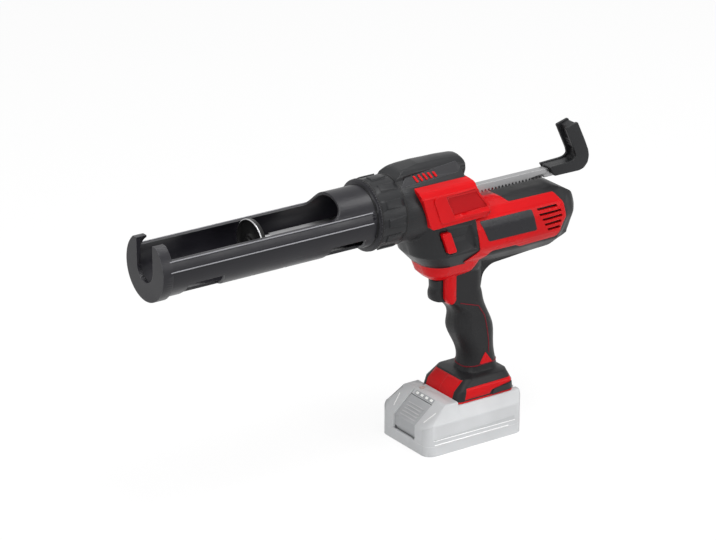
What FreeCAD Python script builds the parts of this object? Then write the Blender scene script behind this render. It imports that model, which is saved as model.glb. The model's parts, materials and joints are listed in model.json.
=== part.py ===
import FreeCAD, Part
import math
import os

from FreeCAD import Vector

# Cordless caulking tool. +X leaves the muzzle, +Y is the tool's left, +Z is up.
# The origin is the middle of the battery's base, on which the tool stands.

# Clearances that all pieces share
RUN_FIT = 0.03
SLIDE_GAP = 0.3
OVERRUN = 120.0
POINT_TOLERANCE = 0.00001

# Housing: side outlines are shares of its length and height, sections of its half width
HOUSING_BACK_X = -127.0
HOUSING_LENGTH = 205.0
HOUSING_BASE_Z = 41.3
HOUSING_HEIGHT = 199.7
HOUSING_HALF = 33.5
HOUSING_ROUND = 20.0
WALL = 3.0
SKIN = 1.4
RIB_WIDTH = 3.0
RIB_BASE_SHARE = 0.64
AXIS_Z = HOUSING_BASE_Z + HOUSING_HEIGHT

# Tail with the motor: side outline, cross section and plan, each with a rounding share
TAIL_SIDE_SHARES = (
    (0.659, 0.53, 0), (0.659, 0.71, 0), (0.634, 0.725, 0), (0.588, 0.755, 0.2), (0.597, 0.805, 0.2),
    (0.62, 0.925, 0), (0.62, 0.957, 0), (0.43, 0.955, 0), (0.11, 0.95, 0.9), (0.028, 0.915, 0.7),
    (0.0, 0.8, 0.9), (0.06, 0.67, 0.6), (0.16, 0.653, 0.9), (0.345, 0.637, 1.2), (0.452, 0.63, 0.8),
    (0.5, 0.595, 0.6), (0.51, 0.53, 0),
)
TAIL_SECTION_SHARES = (
    (0.36, 0.53, 0), (0.36, 0.645, 0.15), (0.61, 0.68, 0.4), (0.85, 0.712, 0.5), (1.0, 0.765, 0.6),
    (1.0, 0.855, 0.5), (0.92, 0.905, 0.4), (0.68, 0.94, 0.5), (0.3, 0.957, 0.4),
)
TAIL_PLAN_SHARES = (
    (0.659, 1.0, 0), (0.2, 1.0, 1.2), (0.1, 0.95, 0.9), (0.042, 0.8, 0.7), (0.0, 0.5, 0.6),
)

# Belly of the front housing, round the gears: rear edge, and level sections with height share,
# front share, half width share and rounding share
BELLY_BACK_SHARES = (
    (0.634, 0.725, 0), (0.66, 0.66, 0), (1.1, 0.66, 0), (1.1, 1.1, 0), (0.62, 1.1, 0), (0.62, 0.925, 0),
    (0.597, 0.805, 0.2), (0.588, 0.755, 0.2),
)
BELLY_LEVEL_SHARES = (
    (0.6945, 0.824, 0.74, 1.0), (0.76, 0.885, 0.96, 1.35), (0.83, 0.905, 0.98, 1.4), (1.0, 0.93, 0.98, 1.4),
)

# Chin over the trigger: level sections like those of the belly
CHIN_BACK_SHARE = 0.5
CHIN_LEVEL_SHARES = (
    (0.615, 0.775, 0.44, 0.5), (0.645, 0.806, 0.62, 0.8), (0.69, 0.822, 0.73, 1.0),
    (0.745, 0.846, 0.84, 1.15),
)

# Upper box of the clamshell, with a pocket on each side
BOX_HALF = 36.3
BOX_POCKET_DEPTH = 2.2
BOX_SIDE_SHARES = (
    (0.549, 0.93, 0.3), (0.871, 0.924, 0.2), (0.934, 1.125, 0.2), (0.622, 1.125, 0.3), (0.626, 1.082, 0.2),
    (0.595, 1.037, 0.2), (0.543, 0.978, 0.3),
)
BOX_SECTION_SHARES = (
    (1.0, 0.92, 0), (1.0, 1.082, 0.2), (0.88, 1.108, 0.3), (0.6, 1.12, 0.3),
)
BOX_POCKET_SHARES = (
    (0.52, 0.965, 0), (0.745, 0.965, 0.15), (0.796, 1.063, 0.15), (0.52, 1.063, 0),
)

# Dome over the rod, with a pocket on each side
DOME_HALF = 15.0
DOME_POCKET_HALF = 12.8
DOME_SIDE_SHARES = (
    (0.63, 1.09, 0), (0.995, 1.09, 0), (0.995, 1.158, 0.3), (0.95, 1.187, 0.8), (0.85, 1.205, 0.8),
    (0.72, 1.206, 0.8), (0.635, 1.195, 0.4), (0.615, 1.172, 0.3), (0.612, 1.14, 0.2),
)
DOME_SECTION_SHARES = (
    (1.0, 1.09, 0), (0.98, 1.13, 0.3), (0.92, 1.172, 0.5), (0.62, 1.203, 0.6), (0.25, 1.212, 0.3),
)
DOME_POCKET_SHARES = (
    (0.66, 1.16, 0.1), (0.955, 1.15, 0.05), (0.95, 1.168, 0.05), (0.672, 1.187, 0.1),
)

# Nose: a round barrel round the rod, with a spigot for the locking ring
NOSE_RADIUS = 33.0
NOSE_BACK_X = 5.0
NOSE_FRONT_SHARE = 0.995
SPIGOT_RADIUS = 29.6
SPIGOT_LENGTH = 14.5
SPIGOT_WALL = 3.6

# Grip: level sections with height, middle, length, width and front rounding shares
GRIP_BACK_X = -52.0
GRIP_REACH = 70.0
GRIP_LENGTH = 45.0
GRIP_WIDTH = 35.0
GRIP_ROUND = 13.0
GRIP_SECTION_SHARES = (
    (0.085, 0.384, 0.89, 1.08, 1.0), (0.16, 0.37, 0.773, 0.914, 1.0), (0.255, 0.431, 0.84, 0.97, 1.0),
    (0.335, 0.487, 0.929, 1.0, 1.0), (0.425, 0.551, 0.791, 0.943, 1.0), (0.485, 0.655, 0.96, 0.943, 0.5),
    (0.525, 0.694, 0.98, 0.943, 0.4), (0.645, 0.69, 1.0, 0.943, 0.4),
)
GRIP_CURVED_LEVELS = 7

# Foot: level sections with height, back, front and half width
FOOT_BACK_X = -52.0
FOOT_LENGTH = 69.0
FOOT_HALF = 29.5
FOOT_HEIGHT = 20.5
FOOT_ROUND = 8.0
FOOT_SECTION_SHARES = (
    (0.0, 0.0, 1.0, 1.0), (0.5, 0.01, 0.95, 0.985), (1.0, 0.07, 0.8, 0.84),
)

# Colour zones of the skin: dark tail and grip, bare panels on the foot
DARK_ZONE_SHARES = (
    (-0.2, -0.2, 0), (0.82, -0.2, 0), (0.82, 0.44, 0), (0.693, 0.46, 0.15), (0.663, 0.5, 0.15),
    (0.663, 0.622, 0.05), (0.603, 0.632, 0.2), (0.562, 0.69, 0.3), (0.519, 0.738, 0.3),
    (0.385, 0.736, 0.1), (0.356, 0.722, 0.1), (0.15, 0.727, 0.3), (0.1, 0.815, 0.2),
    (0.115, 0.889, 0.2), (0.15, 0.939, 0.1), (0.395, 0.941, 0.1), (0.465, 1.02, 0), (-0.2, 1.02, 0),
)
FOOT_SIDE_PANEL_SHARES = (
    (0.652, 0.014, 0), (0.64, 0.066, 0), (0.381, 0.068, 0), (0.381, 0.047, 0), (0.5, 0.031, 0),
    (0.512, 0.014, 0),
)
FOOT_FRONT_PANEL_HALF = 21.0
FOOT_PANEL_BAND = 16.0

# Vents in the motor panel
VENT_COUNT = 5
VENT_HEIGHT = 2.6
VENT_PITCH = 5.4
VENT_TOP_SHARE = 0.892
VENT_FRONT_SHARES = (0.27, 0.262, 0.244, 0.231, 0.214)
VENT_BACK_SHARES = (0.158, 0.136, 0.128, 0.133, 0.138)

# Rod: a flat bar with rack teeth under it
GEAR_MODULE = 1.25
PRESSURE_ANGLE = 25.0
ADDENDUM_SHARE = 0.9
DEDENDUM_SHARE = 1.15
BACKLASH = 0.16
ROD_HEIGHT = 8.5
ROD_WIDTH = 7.0
ROD_DROP = 1.0
ROD_LENGTH = 325.0
ROD_TAIL = 5.0
ROD_TEETH_MARGIN = 6.0
ROD_NECK_RADIUS = 3.2
ROD_NECK_LENGTH = 22.0
ROD_FIT = 0.06

# Push plate on the rod's neck
PLATE_RADIUS = 21.0
PLATE_THICKNESS = 5.0
PLATE_RIM = 1.6
PLATE_DISH = 2.2
PLATE_HUB_RADIUS = 8.0
PLATE_HUB_LENGTH = 5.0
PLATE_SCREW_RADIUS = 5.0
PLATE_SCREW_HEAD = 2.6
PLATE_SCREW_SHANK = 1.8

# Pull handle on the rod's rear end
HOOK_LENGTH = 45.0
HOOK_HEIGHT = 53.0
HOOK_HALF = 8.2
HOOK_SEAT = 15.0
HOOK_LIP = 1.0
HOOK_ROUND = 6.0
HOOK_SHARES = (
    (1.0, 0.0, 0.2), (1.0, 0.25, 0.3), (0.6, 0.29, 0.8), (0.82, 0.95, 0.6), (0.73, 1.0, 0.9),
    (0.42, 1.0, 1.0), (0.0, 0.3, 0.8), (0.04, 0.12, 0.8), (0.22, 0.0, 1.0),
)
HOOK_POCKET_SHARES = (
    (0.2, 0.36, 0.25), (0.4, 0.38, 0.25), (0.66, 0.88, 0.25), (0.46, 0.88, 0.25),
)
HOOK_POCKET_DEPTH = 1.5
HOOK_PIN_RADIUS = 2.0

# Gear train: tooth counts and shafts, from the rod back to the motor
PINION_TEETH = 14
SPUR_GEAR_TEETH = 28
SPUR_PINION_TEETH = 13
CROSS_X = 30.0
PINION_WIDTH = 8.0
SPUR_INNER_Y = 12.0
SPUR_WIDTH = 7.0
DRIVE_SHAFT_RADIUS = 5.0
LAY_SHAFT_RADIUS = 4.0
BEVEL_TEETH = 16
BEVEL_MODULE = 1.5
BEVEL_SMALL_SHARE = 0.62
BEVEL_HUB_RADIUS = 8.5
BEVEL_HUB_LENGTH = 5.0
FRAME_PLATE_Y = 20.0
FRAME_PLATE = 3.0
FRAME_NOSE = 17.5
FRAME_SOLE = 10.5
FRAME_CREST = 6.0
FRAME_ROUND = 8.0
FRAME_CHAMFER = 14.0
BUSH_WALL = 3.0
SPACER_RADIUS = 2.5
SPACER_SHARES = ((0.933, 0.36), (0.07, 0.71))

# Planetary stage between the motor and the bevel pinion
PLANET_MODULE = 0.8
SUN_TEETH = 12
PLANET_TEETH = 15
RING_TEETH = 42
PLANET_COUNT = 3
PLANET_WIDTH = 9.0
PLANET_PIN_RADIUS = 2.0
PLANET_GAP = 1.0
CARRIER_RADIUS = 14.0
CARRIER_PLATE = 3.0
CARRIER_GAP = 3.0
OUTPUT_SHAFT_RADIUS = 5.0
FLANGE_PLATE = 4.0
FLANGE_REACH = 26.0
FLANGE_HALF_HEIGHT = 14.0
RING_OUTER_RADIUS = 21.0
RING_LENGTH = 24.0
GEARBOX_PLATE = 2.0

# Motor
MOTOR_RADIUS = 19.0
MOTOR_WALL = 1.6
MOTOR_LENGTH = 56.0
MAGNET_THICKNESS = 4.0
MAGNET_ARC = 130.0
MAGNET_MARGIN = 8.0
ARMATURE_RADIUS = 12.5
ARMATURE_SLOTS = 5
ARMATURE_SLOT = 3.0
ARMATURE_MARGIN = 10.0
COMMUTATOR_RADIUS = 6.0
COMMUTATOR_LENGTH = 9.0
MOTOR_SHAFT_RADIUS = 2.5
END_BELL_LENGTH = 9.0
END_BELL_WALL = 3.0
FAN_RADIUS = 17.0
FAN_HUB_RADIUS = 6.0
FAN_LENGTH = 6.0
FAN_PLATE = 1.5
FAN_BLADES = 11
FAN_BLADE = 1.4
FAN_GAP = 1.5

# Locking ring
LOCK_LENGTH = 24.7
LOCK_RADIUS = 33.0
LOCK_LIP = 5.0
LOCK_PADS = 12
LOCK_PAD_HEIGHT = 1.2
LOCK_PAD_WIDTH = 8.5
LOCK_PAD_LENGTH = 15.0
LOCK_PAD_BACK = 4.0

# Cartridge holder
HOLDER_LENGTH = 228.1
HOLDER_RADIUS = 29.0
HOLDER_BORE = 26.2
HOLDER_FLANGE_RADIUS = 33.6
HOLDER_FLANGE = 3.0
HOLDER_NECK_RADIUS = 28.2
HOLDER_COLLAR = 3.2
HOLDER_COLLAR_RADIUS = 31.0
HOLDER_SLEEVE_LENGTH = 36.0
HOLDER_EDGE_RISE = 12.5
HOLDER_EDGE_ROUND = 12.0
HOLDER_CAP_LENGTH = 10.5
HOLDER_CAP_RADIUS = 31.0
HOLDER_CAP_PLATE = 4.0
HOLDER_HORN_RISE = 24.5
HOLDER_SLOT_HALF = 13.3
HOLDER_RAIL_RADIUS = 30.6
HOLDER_RAIL_LOW = 2.5
HOLDER_RAIL_MARGIN = 6.7
HOLDER_WINDOW_LENGTH = 35.0
HOLDER_WINDOW_FALL = 13.0
HOLDER_KEEL_HALF = 5.0
HOLDER_WINDOW_SHARES = (0.13, 0.79)
HOLDER_NOTCH_SHARES = (0.4, 0.55)
HOLDER_NOTCH_RADIUS = 2.2

# Trigger and its switch
TRIGGER_REACH = 60.0
TRIGGER_LENGTH = 20.0
TRIGGER_BASE_SHARE = 0.4842
TRIGGER_HEIGHT = 24.0
TRIGGER_HALF = 9.0
TRIGGER_ROUND = 5.0
TRIGGER_TRAVEL = 6.0
TRIGGER_STEM_RADIUS = 3.0
TRIGGER_STEM_LENGTH = 16.0
TRIGGER_SHARES = (
    (0.0, 0.12, 0), (0.5, 0.0, 0.8), (1.0, 0.27, 0.8), (0.86, 0.55, 1.6), (0.9, 0.97, 0.5), (0.0, 0.9, 0),
)
SWITCH_LENGTH = 17.5
SWITCH_HALF = 9.0
SWITCH_HEIGHT = 22.0

# Slider on the belly's left side
SLIDER_TRAVEL = 16.0
SLIDER_RECESS_DEPTH = 2.6
SLIDER_THICKNESS = 4.6
SLIDER_ROUND = 1.5
SLIDER_STEM_LENGTH = 8.0
SLIDER_STEM_HEIGHT = 3.0
SLIDER_PLATE = 2.0
SLIDER_PLATE_MARGIN = 3.0
SLIDER_SHARES = ((0.726, 0.785), (0.772, 0.785), (0.81, 0.889), (0.764, 0.889))
SLIDER_RECESS_SHARES = (
    (0.606, 0.775, 0.1), (0.775, 0.775, 0.1), (0.818, 0.897, 0.1), (0.64, 0.897, 0.1),
)
SLIDER_MIDDLE_SHARES = (0.768, 0.837)

# Battery: side and section outlines in shares of its length, half width and heights
BATTERY_LENGTH = 112.0
BATTERY_HALF = 38.5
BATTERY_SPLIT_Z = 10.0
BATTERY_DECK_GAP = 0.3
BATTERY_HOLLOW_Z = 32.0
BATTERY_WALL = 2.4
BATTERY_ROUND = 10.0
BATTERY_NOSE_SHARES = ((0.5, 0.634), (0.338, 1.0))
BATTERY_SECTION_SHARES = ((1.0, -1.0, 0), (1.0, 0.74, 0.4), (0.8, 1.0, 0.2))
HUMP_BASE_Z = 24.0
HUMP_TOP_Z = 46.0
HUMP_SHARES = ((1.0, 0.565, 0.1), (0.41, 0.975, 0.1), (0.35, 1.0, 0.1), (0.0, 1.0, 0))
HUMP_SECTION_SHARES = ((1.0, 0.0, 0), (1.0, 0.6, 0.3), (0.84, 1.0, 0.2))
TONGUE_HALF = 20.8
TONGUE_NECK_HALF = 18.0
TONGUE_FLANGE = 2.6
RAIL_WIDTH = 3.0
RAIL_DROP = 6.0
LATCH_HALF = 17.0
LATCH_SHARES = (
    (0.8, 0.315), (0.95, 0.315), (0.95, 0.545), (0.48, 0.9), (0.36, 0.9), (0.36, 0.8), (0.8, 0.46),
)
LATCH_TRAVEL = 3.0
GAUGE_BUTTON_RADIUS = 2.6
GAUGE_BUTTON_RISE = 0.8
GAUGE_BUTTON_DEPTH = 3.0
GAUGE_BUTTON_SHARES = (0.2, -0.36)
CELL_RADIUS = 9.1
CELL_LENGTH = 65.0
CELL_COUNT = 5
CELL_PITCH = 18.7
TERMINAL_HALF = 17.0
TERMINAL_HEIGHT = 9.0
TERMINAL_LENGTH = 22.0
TERMINAL_BACK_X = -40.0
BLADE_THICKNESS = 1.2
BLADE_DROP = 4.0
BLADE_SHARES = (-0.55, 0.0, 0.55)
BLADE_SLOT = 2.4

# Case screws, entered from the right: length and height shares, and head depth shares
SCREW_HEAD_RADIUS = 3.0
SCREW_HEAD = 2.4
SCREW_RADIUS = 1.5
SCREW_BOSS_RADIUS = 4.2
SCREW_TIP_DEPTH = 9.0
SCREW_PLACE_SHARES = (
    (0.063, 0.87, 0.5), (0.063, 0.75, 0.5), (0.46, 0.645, 0.4), (0.75, 0.655, 0.36),
    (0.512, 0.36, 0.3), (0.485, 0.225, 0.3), (0.6415, 1.065, 0.4),
)

# Places that follow from the sizes above
ROD_BACK_X = HOUSING_BACK_X + ROD_TAIL
ROD_FRONT_X = ROD_BACK_X + ROD_LENGTH
HOOK_FRONT_X = ROD_BACK_X + HOOK_SEAT
FLANGE_FRONT_X = CROSS_X - FLANGE_REACH
FRAME_FRONT_X = CROSS_X + FRAME_NOSE
FRAME_TOP_Z = AXIS_Z + FRAME_CREST
TRIGGER_BACK_X = GRIP_BACK_X + TRIGGER_REACH
TRIGGER_BASE_Z = HOUSING_BASE_Z + TRIGGER_BASE_SHARE * HOUSING_HEIGHT
ROD_Z = AXIS_Z - ROD_DROP
ROD_PITCH_Z = ROD_Z - ROD_HEIGHT / 2 + ADDENDUM_SHARE * GEAR_MODULE
DRIVE_Z = ROD_PITCH_Z - PINION_TEETH * GEAR_MODULE / 2
LAY_Z = DRIVE_Z - (SPUR_GEAR_TEETH + SPUR_PINION_TEETH) * GEAR_MODULE / 2
FRAME_BOTTOM_Z = LAY_Z - FRAME_SOLE
BEVEL_RADIUS = BEVEL_TEETH * BEVEL_MODULE / 2
FLANGE_BACK_X = FLANGE_FRONT_X - FLANGE_PLATE
RING_BACK_X = FLANGE_BACK_X - RING_LENGTH
MOTOR_FRONT_X = RING_BACK_X - GEARBOX_PLATE
MOTOR_BACK_X = MOTOR_FRONT_X - MOTOR_LENGTH
CARRIER_FRONT_X = FLANGE_BACK_X - CARRIER_GAP
PLANET_FRONT_X = CARRIER_FRONT_X - CARRIER_PLATE - PLANET_GAP
NOSE_FRONT_X = HOUSING_BACK_X + NOSE_FRONT_SHARE * HOUSING_LENGTH
SPIGOT_FRONT_X = NOSE_FRONT_X + SPIGOT_LENGTH
LOCK_BACK_X = NOSE_FRONT_X + SLIDE_GAP
LOCK_FRONT_X = LOCK_BACK_X + LOCK_LENGTH
HOLDER_COLLAR_BACK_X = SPIGOT_FRONT_X + SLIDE_GAP
HOLDER_FLANGE_BACK_X = LOCK_FRONT_X + SLIDE_GAP
HOLDER_FLANGE_FRONT_X = HOLDER_FLANGE_BACK_X + HOLDER_FLANGE
HOLDER_FRONT_X = HOLDER_FLANGE_FRONT_X + HOLDER_LENGTH
HOLDER_RAIL_BACK_X = HOLDER_FLANGE_FRONT_X + HOLDER_RAIL_MARGIN
BATTERY_DECK_Z = HOUSING_BASE_Z - BATTERY_DECK_GAP
TRIGGER_STEM_Z = TRIGGER_BASE_Z + TRIGGER_HEIGHT / 2
TRIGGER_MIDDLE_X = TRIGGER_BACK_X - TRIGGER_TRAVEL - SLIDE_GAP


def tool_x(share):
    """Place along the housing's length."""
    return HOUSING_BACK_X + share * HOUSING_LENGTH


def tool_z(share):
    """Place up the housing's height."""
    return HOUSING_BASE_Z + share * HOUSING_HEIGHT


def block(x_ends, y_ends, z_ends):
    """Box between two places on each axis."""
    size = [ends[1] - ends[0] for ends in (x_ends, y_ends, z_ends)]
    return Part.makeBox(*size, Vector(x_ends[0], y_ends[0], z_ends[0]))


def rod_x(radius, x_ends, z, y=0):
    """Round bar along X."""
    return Part.makeCylinder(radius, x_ends[1] - x_ends[0], Vector(x_ends[0], y, z), Vector(1, 0, 0))


def rod_y(radius, y_ends, x, z):
    """Round bar along Y."""
    return Part.makeCylinder(radius, y_ends[1] - y_ends[0], Vector(x, y_ends[0], z), Vector(0, 1, 0))


def rod_z(radius, z_ends, x, y):
    """Upright round bar."""
    return Part.makeCylinder(radius, z_ends[1] - z_ends[0], Vector(x, y, z_ends[0]))


def tube_x(outer, inner, x_ends, z):
    """Round tube along X."""
    return rod_x(outer, x_ends, z).cut(rod_x(inner, x_ends, z))


def joined(solids):
    """One shape from overlapping solids, without the seams between them."""
    return solids[0].multiFuse(solids[1:]).removeSplitter()


def line_crossing(point_a, direction_a, point_b, direction_b):
    """Point where two lines of the plane cross."""
    cross = direction_a[0] * direction_b[1] - direction_a[1] * direction_b[0]
    offset = (point_b[0] - point_a[0], point_b[1] - point_a[1])
    along = (offset[0] * direction_b[1] - offset[1] * direction_b[0]) / cross
    return (point_a[0] + along * direction_a[0], point_a[1] + along * direction_a[1])


def unit(point_a, point_b):
    """Unit direction from one point of the plane to another."""
    length = math.dist(point_a, point_b)
    return ((point_b[0] - point_a[0]) / length, (point_b[1] - point_a[1]) / length)


def inset_outline(points, radii, inset):
    """Outline moved inwards by an inset; its corner radii follow. Points run anticlockwise."""
    if inset == 0:
        return points, radii
    moved, rounds = [], []
    count = len(points)
    for index in range(count):
        before, here, after = points[index - 1], points[index], points[(index + 1) % count]
        way_in, way_out = unit(before, here), unit(here, after)
        start = (before[0] - way_in[1] * inset, before[1] + way_in[0] * inset)
        end = (here[0] - way_out[1] * inset, here[1] + way_out[0] * inset)
        moved.append(line_crossing(start, way_in, end, way_out))
        turn = way_in[0] * way_out[1] - way_in[1] * way_out[0]
        change = -inset if turn > 0 else inset
        rounds.append(max(radii[index] + change, 0) if radii[index] else 0)
    return moved, rounds


def outline_face(points, radii, lift):
    """Face inside a closed outline with rounded corners; lift places a point in space."""
    corners = []
    count = len(points)
    for index in range(count):
        here = points[index]
        back, on = unit(here, points[index - 1]), unit(here, points[(index + 1) % count])
        if radii[index] == 0:
            corners.append((here, None, here))
            continue
        half = math.acos(max(-1, min(1, back[0] * on[0] + back[1] * on[1]))) / 2
        reach = radii[index] / math.tan(half)
        middle = unit((0, 0), (back[0] + on[0], back[1] + on[1]))
        depth = radii[index] / math.sin(half) - radii[index]
        corners.append((
            (here[0] + back[0] * reach, here[1] + back[1] * reach),
            (here[0] + middle[0] * depth, here[1] + middle[1] * depth),
            (here[0] + on[0] * reach, here[1] + on[1] * reach),
        ))
    edges = []
    for index in range(count):
        start, middle, end = corners[index]
        last = corners[index - 1][2]
        if math.dist(last, start) > POINT_TOLERANCE:
            edges.append(Part.LineSegment(lift(last), lift(start)).toShape())
        if middle is not None:
            edges.append(Part.Arc(lift(start), lift(middle), lift(end)).toShape())
    return Part.Face(Part.Wire(edges))


def mirrored(points):
    """Whole outline from its half on the left, mirrored about the middle plane."""
    return list(points) + [(-point[0], point[1]) for point in reversed(points)]


def side_solid(points, radii, y_ends, inset=0):
    """Solid of a side outline (length, height) drawn from right to left."""
    points, radii = inset_outline(points, radii, inset)
    face = outline_face(points, radii, lambda p: Vector(p[0], y_ends[0], p[1]))
    return face.extrude(Vector(0, y_ends[1] - y_ends[0], 0))


def section_solid(half_points, half_radii, x_ends, inset=0):
    """Solid of a cross section, given as its left half from the bottom up, drawn along X."""
    points, radii = mirrored(half_points), list(half_radii) + list(reversed(half_radii))
    points, radii = inset_outline(points, radii, inset)
    face = outline_face(points, radii, lambda p: Vector(x_ends[0], p[0], p[1]))
    return face.extrude(Vector(x_ends[1] - x_ends[0], 0, 0))


def plan_solid(half_points, half_radii, z_ends, inset=0):
    """Solid of a plan, given as its left half from the front back, drawn upwards."""
    points = list(half_points) + [(p[0], -p[1]) for p in reversed(half_points)]
    radii = list(half_radii) + list(reversed(half_radii))
    points, radii = inset_outline(points, radii, inset)
    face = outline_face(points, radii, lambda p: Vector(p[0], p[1], z_ends[0]))
    return face.extrude(Vector(0, 0, z_ends[1] - z_ends[0]))


def side_places(shares):
    """Points and radii of a side outline in shares of the housing."""
    points = [(tool_x(share[0]), tool_z(share[1])) for share in shares]
    return points, [share[2] * HOUSING_ROUND for share in shares]


def section_places(shares, half):
    """Points and radii of a half section in shares of a half width and the housing's height."""
    points = [(share[0] * half, tool_z(share[1])) for share in shares]
    return points, [share[2] * HOUSING_ROUND for share in shares]


def plan_places(shares, half):
    """Points and radii of a half plan in shares of the housing's length and a half width."""
    points = [(tool_x(share[0]), share[1] * half) for share in shares]
    return points, [share[2] * HOUSING_ROUND for share in shares]


def side_zone(shares, y_ends, inset=0):
    """Solid of a side outline in shares of the housing."""
    points, radii = side_places(shares)
    return side_solid(points, radii, y_ends, inset)


def moulding(side_shares, section_shares, half, inset, plan_shares=None):
    """Moulded form that has a given side outline, cross section and plan."""
    reach = (-OVERRUN, OVERRUN)
    form = side_zone(side_shares, reach, inset)
    points, radii = section_places(section_shares, half)
    form = form.common(section_solid(points, radii, (tool_x(0) - OVERRUN, tool_x(1) + OVERRUN), inset))
    if plan_shares:
        points, radii = plan_places(plan_shares, half)
        form = form.common(plan_solid(points, radii, (0, AXIS_Z + OVERRUN), inset))
    return form


def rounded_level(x_ends, half, radii_ends, z):
    """Closed level outline with rounded corners, each end with its own radius."""
    points = [(x_ends[1], half), (x_ends[0], half), (x_ends[0], -half), (x_ends[1], -half)]
    radii = [radii_ends[1], radii_ends[0], radii_ends[0], radii_ends[1]]
    return outline_face(points, radii, lambda p: Vector(p[0], p[1], z)).OuterWire


def level_form(shares, back_x, inset):
    """Form through level sections, with its lowest and highest level moved in by the inset."""
    wires = []
    for height, front, half, turn in shares:
        ends = (back_x + inset, tool_x(front) - inset)
        radius = turn * HOUSING_ROUND - inset
        level = tool_z(height)
        if height == shares[0][0]:
            level += inset
        if height == shares[-1][0]:
            level -= inset
        wires.append(rounded_level(ends, half * HOUSING_HALF - inset, (radius, radius), level))
    return Part.makeLoft(wires, True, True)


def grip_form(inset):
    """Grip, lofted through level sections: curved for the hand, straight behind the trigger."""
    wires = []
    for height, middle, length, width, turn in GRIP_SECTION_SHARES:
        centre = GRIP_BACK_X + middle * GRIP_REACH
        reach = length * GRIP_LENGTH / 2 - inset
        ends = (centre - reach, centre + reach)
        half = width * GRIP_WIDTH / 2 - inset
        radii = (GRIP_ROUND - inset, turn * GRIP_ROUND - inset)
        wires.append(rounded_level(ends, half, radii, tool_z(height)))
    hand = Part.makeLoft(wires[:GRIP_CURVED_LEVELS], True)
    throat = Part.makeLoft(wires[GRIP_CURVED_LEVELS - 1:], True, True)
    return hand.fuse(throat)


def foot_form(inset):
    """Foot over the battery, lofted through three level sections."""
    wires = []
    for height, back, front, half in FOOT_SECTION_SHARES:
        ends = (FOOT_BACK_X + back * FOOT_LENGTH + inset, FOOT_BACK_X + front * FOOT_LENGTH - inset)
        level = HOUSING_BASE_Z + inset + height * (FOOT_HEIGHT - 2 * inset)
        radii = (FOOT_ROUND - inset, FOOT_ROUND - inset)
        wires.append(rounded_level(ends, half * FOOT_HALF - inset, radii, level))
    return Part.makeLoft(wires, True, True)


def box_form(inset):
    """Upper box of the clamshell."""
    return moulding(BOX_SIDE_SHARES, BOX_SECTION_SHARES, BOX_HALF, inset)


def lower_form(inset):
    """Clamshell under and behind the front housing: tail, chin, grip and foot."""
    tail = moulding(TAIL_SIDE_SHARES, TAIL_SECTION_SHARES, HOUSING_HALF, inset, TAIL_PLAN_SHARES)
    chin = level_form(CHIN_LEVEL_SHARES, tool_x(CHIN_BACK_SHARE), inset)
    return joined([tail, chin, grip_form(inset), foot_form(inset)])


def front_form(inset):
    """Front housing: round nose, belly and dome."""
    belly = level_form(BELLY_LEVEL_SHARES, HOUSING_BACK_X, inset)
    belly = belly.common(side_zone(BELLY_BACK_SHARES, (-OVERRUN, OVERRUN), inset))
    dome = moulding(DOME_SIDE_SHARES, DOME_SECTION_SHARES, DOME_HALF, inset)
    nose = rod_x(NOSE_RADIUS - inset, (NOSE_BACK_X + inset, NOSE_FRONT_X - inset), AXIS_Z)
    return joined([nose, belly, dome])


def gear_passage():
    """Space along the motor's axis that joins the front housing to the tail."""
    half, rise = FRAME_PLATE_Y + FRAME_PLATE + SLIDE_GAP, FLANGE_HALF_HEIGHT + SLIDE_GAP
    flange = block((FLANGE_BACK_X - SLIDE_GAP, CROSS_X), (-half, half), (LAY_Z - rise, LAY_Z + rise))
    return rod_x(RING_OUTER_RADIUS + WALL, (RING_BACK_X, CROSS_X), LAY_Z).fuse(flange)


def rod_passage():
    """Straight space for the rod and its guides through the housing's end walls."""
    half_width, half_height = rod_guide_halves()
    ends = (tool_x(BOX_SIDE_SHARES[-1][0]) - OVERRUN, SPIGOT_FRONT_X + OVERRUN)
    return block(ends, (-half_width, half_width), (ROD_Z - half_height, ROD_Z + half_height))


def rod_guide_halves():
    """Half width and half height of a rod guide."""
    return ROD_WIDTH / 2 + WALL, ROD_HEIGHT / 2 + WALL


def box_pockets():
    """Sunk panels on both sides of the upper box."""
    reach = BOX_HALF - BOX_POCKET_DEPTH
    left = side_zone(BOX_POCKET_SHARES, (reach, BOX_HALF + WALL))
    return [left, left.mirror(Vector(), Vector(0, 1, 0))]


def vent_slots():
    """Level slots with staggered ends through both sides of the motor panel."""
    slots = []
    for index in range(VENT_COUNT):
        top = tool_z(VENT_TOP_SHARE) - index * VENT_PITCH
        ends = (tool_x(VENT_BACK_SHARES[index]), tool_x(VENT_FRONT_SHARES[index]))
        lean = VENT_HEIGHT / 2
        points = [
            (ends[0] - lean, top - VENT_HEIGHT), (ends[1] - lean, top - VENT_HEIGHT),
            (ends[1], top), (ends[0], top),
        ]
        slots.append(side_solid(points, [0] * len(points), (-OVERRUN, OVERRUN)))
    return slots


def trigger_slot():
    """Opening in the grip's front and the chin's underside for the trigger."""
    half = TRIGGER_HALF + SLIDE_GAP
    top = TRIGGER_BASE_Z + TRIGGER_HEIGHT + SLIDE_GAP
    return block((TRIGGER_MIDDLE_X, tool_x(1)), (-half, half), (TRIGGER_BASE_Z, top))


def screw_places():
    """Length, height and head depth of each case screw."""
    return [(tool_x(x), tool_z(z), -depth * HOUSING_HALF) for x, z, depth in SCREW_PLACE_SHARES]


def screw_bosses(cavity):
    """Posts across the cavity for the case screws."""
    posts = [rod_y(SCREW_BOSS_RADIUS, (-OVERRUN, OVERRUN), x, z) for x, z, depth in screw_places()]
    return [post.common(cavity) for post in posts]


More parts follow.
